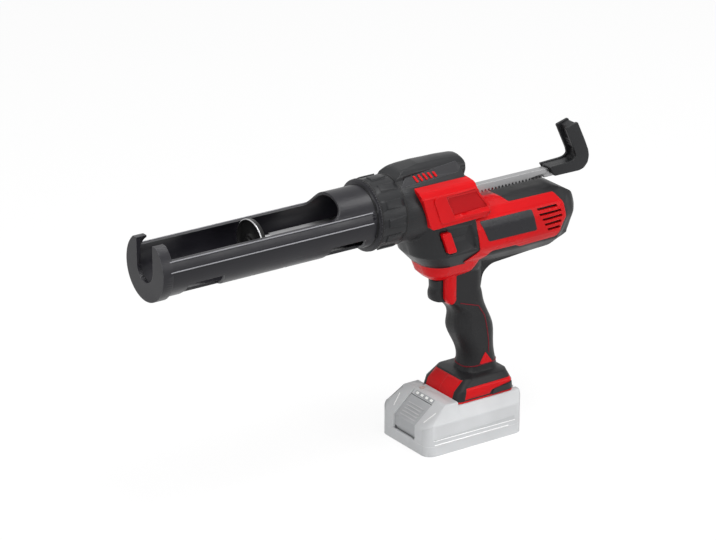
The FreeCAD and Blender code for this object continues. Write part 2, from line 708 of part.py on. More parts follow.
def screw_holes():
    """Clearance holes and sunk head seats, from the right."""
    holes = []
    for x, z, head_y in screw_places():
        holes.append(rod_y(SCREW_RADIUS, (head_y, SCREW_TIP_DEPTH), x, z))
        holes.append(rod_y(SCREW_HEAD_RADIUS + SLIDE_GAP, (-OVERRUN, head_y), x, z))
    return holes


def motor_ribs(cavity):
    """Upright ribs in the tail that carry the motor."""
    seat = rod_x(MOTOR_RADIUS, (MOTOR_BACK_X, MOTOR_FRONT_X), LAY_Z)
    ribs = []
    for place in (MOTOR_FRONT_X - MAGNET_MARGIN, MOTOR_BACK_X + MAGNET_MARGIN):
        heights = (tool_z(RIB_BASE_SHARE), AXIS_Z)
        slab = block((place - RIB_WIDTH, place), (-OVERRUN, OVERRUN), heights)
        ribs.append(slab.common(cavity).cut(seat))
    return ribs


def switch_rib(cavity):
    """Level rib in the grip that holds the switch."""
    level = TRIGGER_STEM_Z - TRIGGER_STEM_RADIUS - RIB_WIDTH
    ends = (TRIGGER_MIDDLE_X - SWITCH_LENGTH, TRIGGER_MIDDLE_X - SLIDE_GAP)
    slab = block(ends, (-OVERRUN, OVERRUN), (level - RIB_WIDTH, level))
    return slab.common(cavity).cut(switch_body())


def battery_rails():
    """Rails under the foot that hook into the battery's tongue."""
    outer = TONGUE_HALF + SLIDE_GAP
    inner = TONGUE_NECK_HALF + SLIDE_GAP
    low = HOUSING_BASE_Z - RAIL_DROP
    lip = BATTERY_DECK_Z - TONGUE_FLANGE - SLIDE_GAP
    ends = (FOOT_BACK_X + FOOT_ROUND, FOOT_BACK_X + FOOT_LENGTH - FOOT_ROUND)
    side = block(ends, (outer, outer + RAIL_WIDTH), (low, HOUSING_BASE_Z + WALL))
    hook = block(ends, (inner, outer + RAIL_WIDTH), (low, lip))
    left = side.fuse(hook)
    return [left, left.mirror(Vector(), Vector(0, 1, 0))]


def dark_zone():
    """Space that the dark skin fills, less the bare panels of the foot."""
    reach = (-OVERRUN, OVERRUN)
    zone = side_zone(DARK_ZONE_SHARES, reach)
    band = FOOT_BACK_X + FOOT_LENGTH - FOOT_PANEL_BAND
    top = HOUSING_BASE_Z + FOOT_HEIGHT - SKIN
    half = FOOT_FRONT_PANEL_HALF
    front = block((band, tool_x(1)), (-half, half), (HOUSING_BASE_Z, top))
    base = block((FOOT_BACK_X - OVERRUN, tool_x(1)), reach, (0, HOUSING_BASE_Z + SKIN))
    return zone.cut(front).cut(side_zone(FOOT_SIDE_PANEL_SHARES, reach)).cut(base)


def cut_all(shape, tools):
    """Shape less several others."""
    return shape.cut(tools[0].multiFuse(tools[1:]) if len(tools) > 1 else tools[0])


def clamshell():
    """Red clamshell and its dark skin, both whole, before they are split in two."""
    outer = lower_form(0).cut(front_form(0)).cut(box_form(0))
    under_skin = lower_form(SKIN)
    zone = dark_zone()
    skin = outer.cut(under_skin).common(zone)
    body = joined([outer.cut(skin), box_form(0)] + battery_rails())
    cavity = lower_form(WALL)
    gears = front_form(WALL).fuse(box_form(WALL))
    body = cut_all(body, [cavity, gears, gear_passage()])
    held = joined([body] + screw_bosses(cavity.fuse(gears)) + motor_ribs(cavity) + [switch_rib(cavity)])
    tools = [gear_passage(), rod_passage(), trigger_slot(), terminal_well()]
    held = cut_all(held, tools + vent_slots() + box_pockets() + screw_holes())
    skin = cut_all(skin, [trigger_slot()] + screw_holes())
    return held, skin


def halves(shape):
    """Left and right half of a shape."""
    reach = (-HOUSING_LENGTH - OVERRUN, HOUSING_LENGTH + OVERRUN)
    left = block(reach, (0, OVERRUN), (-OVERRUN, AXIS_Z + OVERRUN))
    right = block(reach, (-OVERRUN, 0), (-OVERRUN, AXIS_Z + OVERRUN))
    return shape.common(left), shape.common(right)


def front_housing():
    """Dark front housing with its spigot, dome pockets and slider recess."""
    spigot = rod_x(SPIGOT_RADIUS, (NOSE_FRONT_X - WALL, SPIGOT_FRONT_X), AXIS_Z)
    bore = rod_x(SPIGOT_RADIUS - SPIGOT_WALL, (NOSE_FRONT_X - 2 * WALL, SPIGOT_FRONT_X - WALL), AXIS_Z)
    shell = front_form(0).cut(box_form(0)).fuse(spigot)
    shell = cut_all(shell, [front_form(WALL), box_form(WALL), lower_form(WALL).common(gear_passage()), bore])
    left = side_zone(DOME_POCKET_SHARES, (DOME_POCKET_HALF, DOME_HALF + WALL))
    pockets = [left, left.mirror(Vector(), Vector(0, 1, 0))]
    shell = cut_all(shell, pockets + [slider_recess(), slider_slot(), rod_passage(), gear_passage()])
    solids = sorted(shell.Solids, key=lambda solid: solid.Volume)
    return solids[-1]


def slider_floor_y():
    """Depth of the slider's recess, from the middle plane."""
    return BELLY_LEVEL_SHARES[-1][2] * HOUSING_HALF - SLIDER_RECESS_DEPTH


def slider_recess():
    """Sunk panel in the belly's left side."""
    return side_zone(SLIDER_RECESS_SHARES, (slider_floor_y(), HOUSING_HALF + WALL))


def slider_stem_ends():
    """Ends of the slider's stem along the tool."""
    middle = tool_x(SLIDER_MIDDLE_SHARES[0])
    return middle - SLIDER_STEM_LENGTH / 2, middle + SLIDER_STEM_LENGTH / 2


def slider_slot():
    """Slot behind the slider, as long as its stem and travel."""
    back, front = slider_stem_ends()
    half = SLIDER_STEM_HEIGHT / 2 + SLIDE_GAP
    middle = tool_z(SLIDER_MIDDLE_SHARES[1])
    ends = (back - SLIDER_TRAVEL - SLIDE_GAP, front + SLIDE_GAP)
    return block(ends, (FRAME_PLATE_Y + FRAME_PLATE, HOUSING_HALF), (middle - half, middle + half))


def side_slider():
    """Slider with its stem through the slot and a plate that keeps it there."""
    floor = slider_floor_y() + SLIDE_GAP
    points = [(tool_x(x), tool_z(z)) for x, z in SLIDER_SHARES]
    pad = side_solid(points, [SLIDER_ROUND] * len(points), (floor, floor + SLIDER_THICKNESS))
    back, front = slider_stem_ends()
    middle = tool_z(SLIDER_MIDDLE_SHARES[1])
    half = SLIDER_STEM_HEIGHT / 2
    inner = BELLY_LEVEL_SHARES[1][2] * HOUSING_HALF - WALL - 2 * SLIDE_GAP
    stem = block((back, front), (inner - SLIDER_PLATE, floor), (middle - half, middle + half))
    edge = half + SLIDER_PLATE_MARGIN
    plate = block((back, front), (inner - SLIDER_PLATE, inner), (middle - edge, middle + edge))
    return joined([pad, stem, plate])


def rod_guide(x_ends):
    """Bearing block with a square window for the rod."""
    half_width, half_height = rod_guide_halves()
    guide = block(x_ends, (-half_width, half_width), (ROD_Z - half_height, ROD_Z + half_height))
    width, height = ROD_WIDTH / 2 + ROD_FIT, ROD_HEIGHT / 2 + ROD_FIT
    return guide.cut(block(x_ends, (-width, width), (ROD_Z - height, ROD_Z + height)))


def flank_angle(radius, pitch_radius, thickness):
    """Half angle of an involute tooth at a radius."""
    def involute(angle):
        return math.tan(angle) - angle
    pressure = math.radians(PRESSURE_ANGLE)
    base = pitch_radius * math.cos(pressure)
    at_radius = math.acos(min(1, base / max(radius, base)))
    return thickness / 2 / pitch_radius + involute(pressure) - involute(at_radius)


def gear_face(teeth, module, outward, inward, thickness, turn, lift):
    """Face of a spur gear outline; turn is the angle of its first tooth."""
    pitch_radius = teeth * module / 2
    tip, root = pitch_radius + outward, pitch_radius - inward
    base = max(root, pitch_radius * math.cos(math.radians(PRESSURE_ANGLE)))
    middle = (tip + base) / 2

    def at(radius, angle):
        return lift(radius * math.cos(angle), radius * math.sin(angle))

    half_root = flank_angle(base, pitch_radius, thickness)
    half_middle = flank_angle(middle, pitch_radius, thickness)
    half_tip = flank_angle(tip, pitch_radius, thickness)
    step = 2 * math.pi / teeth
    edges = []
    for tooth in range(teeth):
        angle = turn + tooth * step
        rise = [at(base, angle - half_root), at(middle, angle - half_middle), at(tip, angle - half_tip)]
        fall = [at(tip, angle + half_tip), at(middle, angle + half_middle), at(base, angle + half_root)]
        if base > root:
            edges.append(Part.LineSegment(at(root, angle - half_root), rise[0]).toShape())
        edges.append(Part.Arc(*rise).toShape())
        edges.append(Part.Arc(rise[2], at(tip, angle), fall[0]).toShape())
        edges.append(Part.Arc(*fall).toShape())
        if base > root:
            edges.append(Part.LineSegment(fall[2], at(root, angle + half_root)).toShape())
        valley = [at(root, angle + half_root), at(root, angle + step / 2), at(root, angle + step - half_root)]
        edges.append(Part.Arc(*valley).toShape())
    return Part.Face(Part.Wire(edges))


def spur_y(teeth, y_ends, x, z, turn):
    """Spur gear on a cross shaft; turn is measured from +Z towards +X."""
    def lift(along, across):
        return Vector(x + across, y_ends[0], z + along)
    thickness = math.pi * GEAR_MODULE / 2 - BACKLASH
    outward, inward = ADDENDUM_SHARE * GEAR_MODULE, DEDENDUM_SHARE * GEAR_MODULE
    face = gear_face(teeth, GEAR_MODULE, outward, inward, thickness, turn, lift)
    return face.extrude(Vector(0, y_ends[1] - y_ends[0], 0))


def spur_x(teeth, x_ends, y, z, turn):
    """Small spur gear of the planetary stage, along X; turn is measured from +Y towards +Z."""
    def lift(along, across):
        return Vector(x_ends[0], y + along, z + across)
    thickness = math.pi * PLANET_MODULE / 2 - BACKLASH * PLANET_MODULE / GEAR_MODULE
    outward, inward = ADDENDUM_SHARE * PLANET_MODULE, DEDENDUM_SHARE * PLANET_MODULE
    face = gear_face(teeth, PLANET_MODULE, outward, inward, thickness, turn, lift)
    return face.extrude(Vector(x_ends[1] - x_ends[0], 0, 0))


def rack_rod():
    """Rod with rack teeth along its underside and a round neck at its front end."""
    half = ROD_WIDTH / 2
    low, high = ROD_Z - ROD_HEIGHT / 2, ROD_Z + ROD_HEIGHT / 2
    bar = block((ROD_BACK_X, ROD_FRONT_X), (-half, half), (low, high))
    pitch = math.pi * GEAR_MODULE
    root = ROD_PITCH_Z + DEDENDUM_SHARE * GEAR_MODULE
    slope = math.tan(math.radians(PRESSURE_ANGLE))
    half_gap = (pitch / 2 + BACKLASH) / 2
    back = math.ceil((HOOK_FRONT_X + ROD_TEETH_MARGIN - CROSS_X) / pitch)
    front = math.floor((ROD_FRONT_X - ROD_TEETH_MARGIN - CROSS_X) / pitch)
    narrow = half_gap - (root - ROD_PITCH_Z) * slope
    wide = half_gap + (ROD_PITCH_Z - low) * slope
    outline = [(HOOK_FRONT_X + ROD_TEETH_MARGIN / 2, low)]
    for index in range(back, front + 1):
        middle = CROSS_X + index * pitch
        outline += [(middle - wide, low), (middle - narrow, root)]
        outline += [(middle + narrow, root), (middle + wide, low)]
    outline += [(ROD_FRONT_X, low), (ROD_FRONT_X, high), (ROD_BACK_X, high), (ROD_BACK_X, low)]
    teeth = side_solid(outline, [0] * len(outline), (-half, half))
    neck = rod_x(ROD_NECK_RADIUS, (ROD_FRONT_X, ROD_FRONT_X + ROD_NECK_LENGTH), AXIS_Z)
    bore_ends = (ROD_FRONT_X, ROD_FRONT_X + ROD_NECK_LENGTH)
    bore = rod_x(PLATE_SCREW_SHANK, bore_ends, AXIS_Z)
    return bar.common(teeth).fuse(neck).removeSplitter().cut(bore).cut(hook_pin())


def hook_pin_x():
    """Place of the cross pin that holds the pull handle."""
    return (HOOK_FRONT_X + ROD_BACK_X) / 2


def plate_back_x():
    """Rear face of the push plate, at the end of the rod's neck."""
    return ROD_FRONT_X + ROD_NECK_LENGTH - PLATE_THICKNESS


def push_plate():
    """Dished round plate with a rim and a hub behind it."""
    back = plate_back_x()
    front = back + PLATE_THICKNESS
    disc = rod_x(PLATE_RADIUS, (back, front), AXIS_Z)
    dish = rod_x(PLATE_RADIUS - PLATE_RIM, (front - PLATE_DISH, front), AXIS_Z)
    boss = rod_x(PLATE_HUB_RADIUS, (back - PLATE_HUB_LENGTH, front), AXIS_Z)
    bore = rod_x(ROD_NECK_RADIUS, (back - PLATE_HUB_LENGTH, front), AXIS_Z)
    return joined([disc.cut(dish), boss]).cut(bore)


def plate_screw():
    """Screw in the rod's neck that holds the push plate."""
    seat = ROD_FRONT_X + ROD_NECK_LENGTH
    head = rod_x(PLATE_SCREW_RADIUS, (seat, seat + PLATE_SCREW_HEAD), AXIS_Z)
    shank = rod_x(PLATE_SCREW_SHANK, (ROD_FRONT_X + PLATE_HUB_LENGTH, seat), AXIS_Z)
    return head.fuse(shank).removeSplitter()


def hook_places(shares):
    """Points and radii in shares of the pull handle's length and height."""
    back = HOOK_FRONT_X - HOOK_LENGTH
    base = ROD_Z - ROD_HEIGHT / 2 - HOOK_LIP
    points = [(back + share[0] * HOOK_LENGTH, base + share[1] * HOOK_HEIGHT) for share in shares]
    return points, [share[2] * HOOK_ROUND for share in shares]


def pull_handle():
    """L-shaped handle with a socket for the rod and a sunk panel on each side of its arm."""
    points, radii = hook_places(HOOK_SHARES)
    body = side_solid(points, radii, (-HOOK_HALF, HOOK_HALF))
    points, radii = hook_places(HOOK_POCKET_SHARES)
    left = side_solid(points, radii, (HOOK_HALF - HOOK_POCKET_DEPTH, HOOK_HALF))
    half = ROD_WIDTH / 2
    rod_z_ends = (ROD_Z - ROD_HEIGHT / 2, ROD_Z + ROD_HEIGHT / 2)
    socket = block((ROD_BACK_X, HOOK_FRONT_X), (-half, half), rod_z_ends)
    return cut_all(body, [left, left.mirror(Vector(), Vector(0, 1, 0)), socket, hook_pin()])


def drive_shaft():
    """Cross shaft of the rack pinion."""
    reach = FRAME_PLATE_Y + FRAME_PLATE
    return rod_y(DRIVE_SHAFT_RADIUS, (-reach, reach), CROSS_X, DRIVE_Z)


def lay_shaft():
    """Cross shaft between the bevel pair and the drive shaft."""
    reach = FRAME_PLATE_Y + FRAME_PLATE
    return rod_y(LAY_SHAFT_RADIUS, (-reach, reach), CROSS_X, LAY_Z)


def rack_pinion():
    """Pinion that pushes the rod; a tooth points straight up into the rack."""
    ends = (-PINION_WIDTH / 2, PINION_WIDTH / 2)
    return spur_y(PINION_TEETH, ends, CROSS_X, DRIVE_Z, 0).cut(drive_shaft())


def spur_gear():
    """Large spur gear on the drive shaft; a tooth points straight down."""
    ends = (SPUR_INNER_Y, SPUR_INNER_Y + SPUR_WIDTH)
    return spur_y(SPUR_GEAR_TEETH, ends, CROSS_X, DRIVE_Z, math.pi).cut(drive_shaft())


def spur_pinion():
    """Small spur pinion on the lay shaft; a gap faces straight up."""
    ends = (SPUR_INNER_Y, SPUR_INNER_Y + SPUR_WIDTH)
    return spur_y(SPUR_PINION_TEETH, ends, CROSS_X, LAY_Z, math.pi / SPUR_PINION_TEETH).cut(lay_shaft())


def bevel_wire(scale, turn):
    """Outline of the bevel gear in a level plane, at a share of its distance from the apex."""
    pitch_radius, cone = BEVEL_RADIUS, math.pi / 4
    virtual = pitch_radius / math.cos(cone)
    slant = pitch_radius / math.sin(cone)
    thickness = math.pi * BEVEL_MODULE / 2 - BACKLASH * BEVEL_MODULE / GEAR_MODULE
    heights = (-DEDENDUM_SHARE * BEVEL_MODULE, 0, ADDENDUM_SHARE * BEVEL_MODULE)
    radii, angles = [], []
    for height in heights:
        radii.append(scale * pitch_radius * math.tan(cone + math.atan(height / slant)))
        half = flank_angle(virtual + height, virtual, thickness)
        angles.append((virtual + height) * half / (pitch_radius + height * math.cos(cone)))

    def at(index, angle):
        return Vector(radii[index] * math.cos(angle), radii[index] * math.sin(angle), scale * pitch_radius)

    step = 2 * math.pi / BEVEL_TEETH
    edges = []
    for tooth in range(BEVEL_TEETH):
        middle = turn + tooth * step
        rise = [at(index, middle - angles[index]) for index in range(len(heights))]
        fall = [at(index, middle + angles[index]) for index in reversed(range(len(heights)))]
        edges.append(Part.Arc(*rise).toShape())
        edges.append(Part.Arc(rise[2], at(2, middle), fall[0]).toShape())
        edges.append(Part.Arc(*fall).toShape())
        valley = [fall[2], at(0, middle + step / 2), at(0, middle + step - angles[0])]
        edges.append(Part.Arc(*valley).toShape())
    return Part.Wire(edges)


def bevel_body(turn):
    """Bevel gear with its apex at the origin, its axis on +Z and its hub behind."""
    teeth = Part.makeLoft([bevel_wire(BEVEL_SMALL_SHARE, turn), bevel_wire(1, turn)], True, True)
    hub = rod_z(BEVEL_HUB_RADIUS, (BEVEL_RADIUS, BEVEL_RADIUS + BEVEL_HUB_LENGTH), 0, 0)
    return teeth.fuse(hub)


def bevel_gear():
    """Bevel gear on the lay shaft, on the right; a tooth points back to the pinion."""
    gear = bevel_body(math.pi)
    gear.rotate(Vector(), Vector(1, 0, 0), 90)
    gear.translate(Vector(CROSS_X, 0, LAY_Z))
    return gear.cut(lay_shaft())


def bevel_pinion():
    """Bevel pinion on the output shaft; a gap faces right, to the gear."""
    gear = bevel_body(math.pi / 2 + math.pi / BEVEL_TEETH)
    gear.rotate(Vector(), Vector(0, 1, 0), -90)
    gear.translate(Vector(CROSS_X, 0, LAY_Z))
    return gear.cut(output_shaft())


def output_ends():
    """Ends of the output shaft along the tool."""
    return CARRIER_FRONT_X, CROSS_X - BEVEL_SMALL_SHARE * BEVEL_RADIUS


def output_shaft():
    """Shaft from the planet carrier to the bevel pinion."""
    return rod_x(OUTPUT_SHAFT_RADIUS, output_ends(), LAY_Z)


def planet_orbit():
    """Radius on which the planets sit."""
    return (SUN_TEETH + PLANET_TEETH) * PLANET_MODULE / 2


def planet_spot(index):
    """Place of a planet's axis and its angle round the sun."""
    angle = 2 * math.pi * index / PLANET_COUNT
    return planet_orbit() * math.cos(angle), LAY_Z + planet_orbit() * math.sin(angle), angle


def planet_ends():
    """Ends of the planets along the tool."""
    return PLANET_FRONT_X - PLANET_WIDTH, PLANET_FRONT_X


def planet_carrier():
    """Carrier plate with three pins, in one piece with the output shaft."""
    plate = rod_x(CARRIER_RADIUS, (CARRIER_FRONT_X - CARRIER_PLATE, CARRIER_FRONT_X), LAY_Z)
    pins = []
    for index in range(PLANET_COUNT):
        y, z, angle = planet_spot(index)
        pins.append(rod_x(PLANET_PIN_RADIUS, (planet_ends()[0], CARRIER_FRONT_X), z, y))
    return joined([plate, output_shaft()] + pins)


def planet_gear(index):
    """Planet in mesh with the sun and the ring."""
    y, z, angle = planet_spot(index)
    turn = angle + math.pi - math.pi / PLANET_TEETH
    gear = spur_x(PLANET_TEETH, planet_ends(), y, z, turn)
    return gear.cut(rod_x(PLANET_PIN_RADIUS + RUN_FIT, planet_ends(), z, y))


def sun_gear():
    """Sun on the motor shaft; its first tooth points left."""
    return spur_x(SUN_TEETH, planet_ends(), 0, LAY_Z, 0).cut(motor_shaft())


def ring_gear():
    """Gearbox tube with the ring's teeth inside."""
    ends = (RING_BACK_X, FLANGE_BACK_X)

    def lift(along, across):
        return Vector(ends[0], along, LAY_Z + across)
    thickness = math.pi * PLANET_MODULE / 2 + BACKLASH * PLANET_MODULE / GEAR_MODULE
    outward, inward = DEDENDUM_SHARE * PLANET_MODULE, ADDENDUM_SHARE * PLANET_MODULE
    hole = gear_face(RING_TEETH, PLANET_MODULE, outward, inward, thickness, 0, lift)
    return rod_x(RING_OUTER_RADIUS, ends, LAY_Z).cut(hole.extrude(Vector(RING_LENGTH, 0, 0)))


def gearbox_rear_plate():
    """Plate between the gearbox and the motor."""
    return tube_x(RING_OUTER_RADIUS, MOTOR_SHAFT_RADIUS + SLIDE_GAP, (MOTOR_FRONT_X, RING_BACK_X), LAY_Z)


def gearbox_flange():
    """Plate that closes the gearbox and carries the frame plates."""
    half = FRAME_PLATE_Y + FRAME_PLATE
    ends = (FLANGE_BACK_X, FLANGE_FRONT_X)
    heights = (LAY_Z - FLANGE_HALF_HEIGHT, LAY_Z + FLANGE_HALF_HEIGHT)
    plate = block(ends, (-half, half), heights).fuse(rod_x(RING_OUTER_RADIUS, ends, LAY_Z)).removeSplitter()
    low = block(ends, (-half, half), (LAY_Z - RING_OUTER_RADIUS, LAY_Z - FLANGE_HALF_HEIGHT))
    return plate.cut(low).cut(output_bush_blank())


def output_bush_blank():
    """Outside of the output shaft's bush."""
    ends = (FLANGE_BACK_X, FLANGE_FRONT_X + BUSH_WALL)
    return rod_x(OUTPUT_SHAFT_RADIUS + BUSH_WALL, ends, LAY_Z)


def output_bush():
    """Bush of the output shaft, in the gearbox flange."""
    ends = (FLANGE_BACK_X, FLANGE_FRONT_X + BUSH_WALL)
    return output_bush_blank().cut(rod_x(OUTPUT_SHAFT_RADIUS + RUN_FIT, ends, LAY_Z))


def cross_bushes(radius, z):
    """Pair of bushes in the frame plates for a cross shaft."""
    inner, outer = FRAME_PLATE_Y, FRAME_PLATE_Y + FRAME_PLATE
    pair = []
    for ends in ((inner, outer), (-outer, -inner)):
        blank = rod_y(radius + BUSH_WALL, ends, CROSS_X, z)
        pair.append(blank.cut(rod_y(radius + RUN_FIT, ends, CROSS_X, z)))
    return Part.makeCompound(pair)


def spacer_places():
    """Places of the spacers in shares of the frame plate."""
    length, height = FRAME_FRONT_X - FLANGE_FRONT_X, FRAME_TOP_Z - FRAME_BOTTOM_Z
    return [(FLANGE_FRONT_X + x * length, FRAME_BOTTOM_Z + z * height) for x, z in SPACER_SHARES]


def frame_plate(y_ends):
    """Side plate that carries the bushes of both cross shafts."""
    points = [
        (FLANGE_FRONT_X, FRAME_BOTTOM_Z), (FRAME_FRONT_X - FRAME_CHAMFER, FRAME_BOTTOM_Z),
        (FRAME_FRONT_X, FRAME_BOTTOM_Z + FRAME_CHAMFER),
        (FRAME_FRONT_X, FRAME_TOP_Z), (FLANGE_FRONT_X, FRAME_TOP_Z),
    ]
    plate = side_solid(points, [FRAME_ROUND] * len(points), y_ends)
    holes = [
        rod_y(DRIVE_SHAFT_RADIUS + BUSH_WALL, y_ends, CROSS_X, DRIVE_Z),
        rod_y(LAY_SHAFT_RADIUS + BUSH_WALL, y_ends, CROSS_X, LAY_Z),
    ]
    return cut_all(plate, holes)


def frame_spacers():
    """Round spacers that tie the two frame plates together."""
    ends = (-FRAME_PLATE_Y, FRAME_PLATE_Y)
    return Part.makeCompound([rod_y(SPACER_RADIUS, ends, x, z) for x, z in spacer_places()])


def motor_can():
    """Drawn steel can of the motor, open at the back."""
    ends = (MOTOR_BACK_X, MOTOR_FRONT_X)
    hollow = rod_x(MOTOR_RADIUS - MOTOR_WALL, (MOTOR_BACK_X, MOTOR_FRONT_X - MOTOR_WALL), LAY_Z)
    bore = rod_x(MOTOR_SHAFT_RADIUS + RUN_FIT, ends, LAY_Z)
    return rod_x(MOTOR_RADIUS, ends, LAY_Z).cut(hollow).cut(bore)


def motor_magnets():
    """Two curved magnets inside the can."""
    outer = MOTOR_RADIUS - MOTOR_WALL
    ends = (MOTOR_BACK_X + MAGNET_MARGIN, MOTOR_FRONT_X - MAGNET_MARGIN)
    pair = []
    for start in (-MAGNET_ARC / 2, math.degrees(math.pi) - MAGNET_ARC / 2):
        origin, axis = Vector(ends[0], 0, LAY_Z), Vector(1, 0, 0)
        magnet = Part.makeCylinder(outer, ends[1] - ends[0], origin, axis, MAGNET_ARC)
        magnet.rotate(origin, axis, start)
        pair.append(magnet.cut(rod_x(outer - MAGNET_THICKNESS, ends, LAY_Z)))
    return Part.makeCompound(pair)


def armature():
    """Slotted iron core on the motor shaft."""
    ends = (MOTOR_BACK_X + ARMATURE_MARGIN, MOTOR_FRONT_X - ARMATURE_MARGIN)
    core = rod_x(ARMATURE_RADIUS, ends, LAY_Z)
    slots = []
    for index in range(ARMATURE_SLOTS):
        reach = (COMMUTATOR_RADIUS, ARMATURE_RADIUS + WALL)
        slot = block(ends, (-ARMATURE_SLOT / 2, ARMATURE_SLOT / 2), (LAY_Z + reach[0], LAY_Z + reach[1]))
        slot.rotate(Vector(0, 0, LAY_Z), Vector(1, 0, 0), math.degrees(2 * math.pi) * index / ARMATURE_SLOTS)
        slots.append(slot)
    return cut_all(core, slots + [motor_shaft()])


def commutator():
    """Copper ring behind the armature."""
    front = MOTOR_BACK_X + ARMATURE_MARGIN
    return tube_x(COMMUTATOR_RADIUS, MOTOR_SHAFT_RADIUS, (front - COMMUTATOR_LENGTH, front), LAY_Z)


def motor_shaft():
    """Motor shaft from the fan to the sun gear."""
    back = MOTOR_BACK_X - END_BELL_LENGTH - FAN_GAP - FAN_LENGTH
    return rod_x(MOTOR_SHAFT_RADIUS, (back, planet_ends()[1]), LAY_Z)


def motor_end_bell():
    """Plastic bell that closes the motor's back and carries its shaft."""
    ends = (MOTOR_BACK_X - END_BELL_LENGTH, MOTOR_BACK_X)
    bell = rod_x(MOTOR_RADIUS, ends, LAY_Z)
    hollow = rod_x(MOTOR_RADIUS - END_BELL_WALL, (ends[0] + END_BELL_WALL, ends[1]), LAY_Z)
    return bell.cut(hollow).cut(rod_x(MOTOR_SHAFT_RADIUS + RUN_FIT, ends, LAY_Z))


def cooling_fan():
    """Radial fan on the motor shaft, behind the end bell."""
    front = MOTOR_BACK_X - END_BELL_LENGTH - FAN_GAP
    ends = (front - FAN_LENGTH, front)
    disc = rod_x(FAN_RADIUS, (front - FAN_PLATE, front), LAY_Z)
    hub = rod_x(FAN_HUB_RADIUS, ends, LAY_Z)
    blades = []
    for index in range(FAN_BLADES):
        reach = (FAN_HUB_RADIUS - FAN_BLADE, FAN_RADIUS - FAN_BLADE)
        blade = block(ends, (-FAN_BLADE / 2, FAN_BLADE / 2), (LAY_Z + reach[0], LAY_Z + reach[1]))
        blade.rotate(Vector(0, 0, LAY_Z), Vector(1, 0, 0), math.degrees(2 * math.pi) * index / FAN_BLADES)
        blades.append(blade)
    return joined([disc, hub] + blades).cut(motor_shaft())


def locking_ring():
    """Ring that holds the cartridge holder on the nose, with grip pads round it."""
    back, lip_back = LOCK_BACK_X, LOCK_FRONT_X - LOCK_LIP
    shell = rod_x(LOCK_RADIUS, (back, LOCK_FRONT_X), AXIS_Z)
    pads = []
    for index in range(LOCK_PADS):
        ends = (back + LOCK_PAD_BACK, back + LOCK_PAD_BACK + LOCK_PAD_LENGTH)
        half = LOCK_PAD_WIDTH / 2
        heights = (AXIS_Z + HOLDER_COLLAR_RADIUS, AXIS_Z + LOCK_RADIUS + LOCK_PAD_HEIGHT)
        pad = block(ends, (-half, half), heights)
        pad.rotate(Vector(0, 0, AXIS_Z), Vector(1, 0, 0), math.degrees(2 * math.pi) * index / LOCK_PADS)
        pads.append(pad.common(rod_x(LOCK_RADIUS + LOCK_PAD_HEIGHT, ends, AXIS_Z)))
    seat = rod_x(SPIGOT_RADIUS + RUN_FIT, (back, SPIGOT_FRONT_X + SLIDE_GAP), AXIS_Z)
    chamber = rod_x(HOLDER_COLLAR_RADIUS + SLIDE_GAP, (SPIGOT_FRONT_X, lip_back), AXIS_Z)
    mouth = rod_x(HOLDER_NECK_RADIUS + SLIDE_GAP, (lip_back, LOCK_FRONT_X), AXIS_Z)
    return cut_all(joined([shell] + pads), [seat, chamber, mouth])


def holder_windows():
    """Windows low in both sides of the trough, with sloping ends."""
    start, length = HOLDER_FLANGE_FRONT_X, HOLDER_FRONT_X - HOLDER_FLANGE_FRONT_X
    tools = []
    for share in HOLDER_WINDOW_SHARES:
        middle = start + share * length
        half, lean = HOLDER_WINDOW_LENGTH / 2, HOLDER_WINDOW_FALL / 2
        top, low = AXIS_Z - HOLDER_WINDOW_FALL, AXIS_Z - HOLDER_CAP_RADIUS
        points = [
            (middle - half - lean, low), (middle + half + lean, low),
            (middle + half, top), (middle - half, top),
        ]
        for ends in ((HOLDER_KEEL_HALF, OVERRUN), (-OVERRUN, -HOLDER_KEEL_HALF)):
            tools.append(side_solid(points, [0] * len(points), ends))
    for share in HOLDER_NOTCH_SHARES:
        place = start + share * length
        tools.append(rod_y(HOLDER_NOTCH_RADIUS, (-OVERRUN, OVERRUN), place, AXIS_Z - HOLDER_BORE))
    return tools


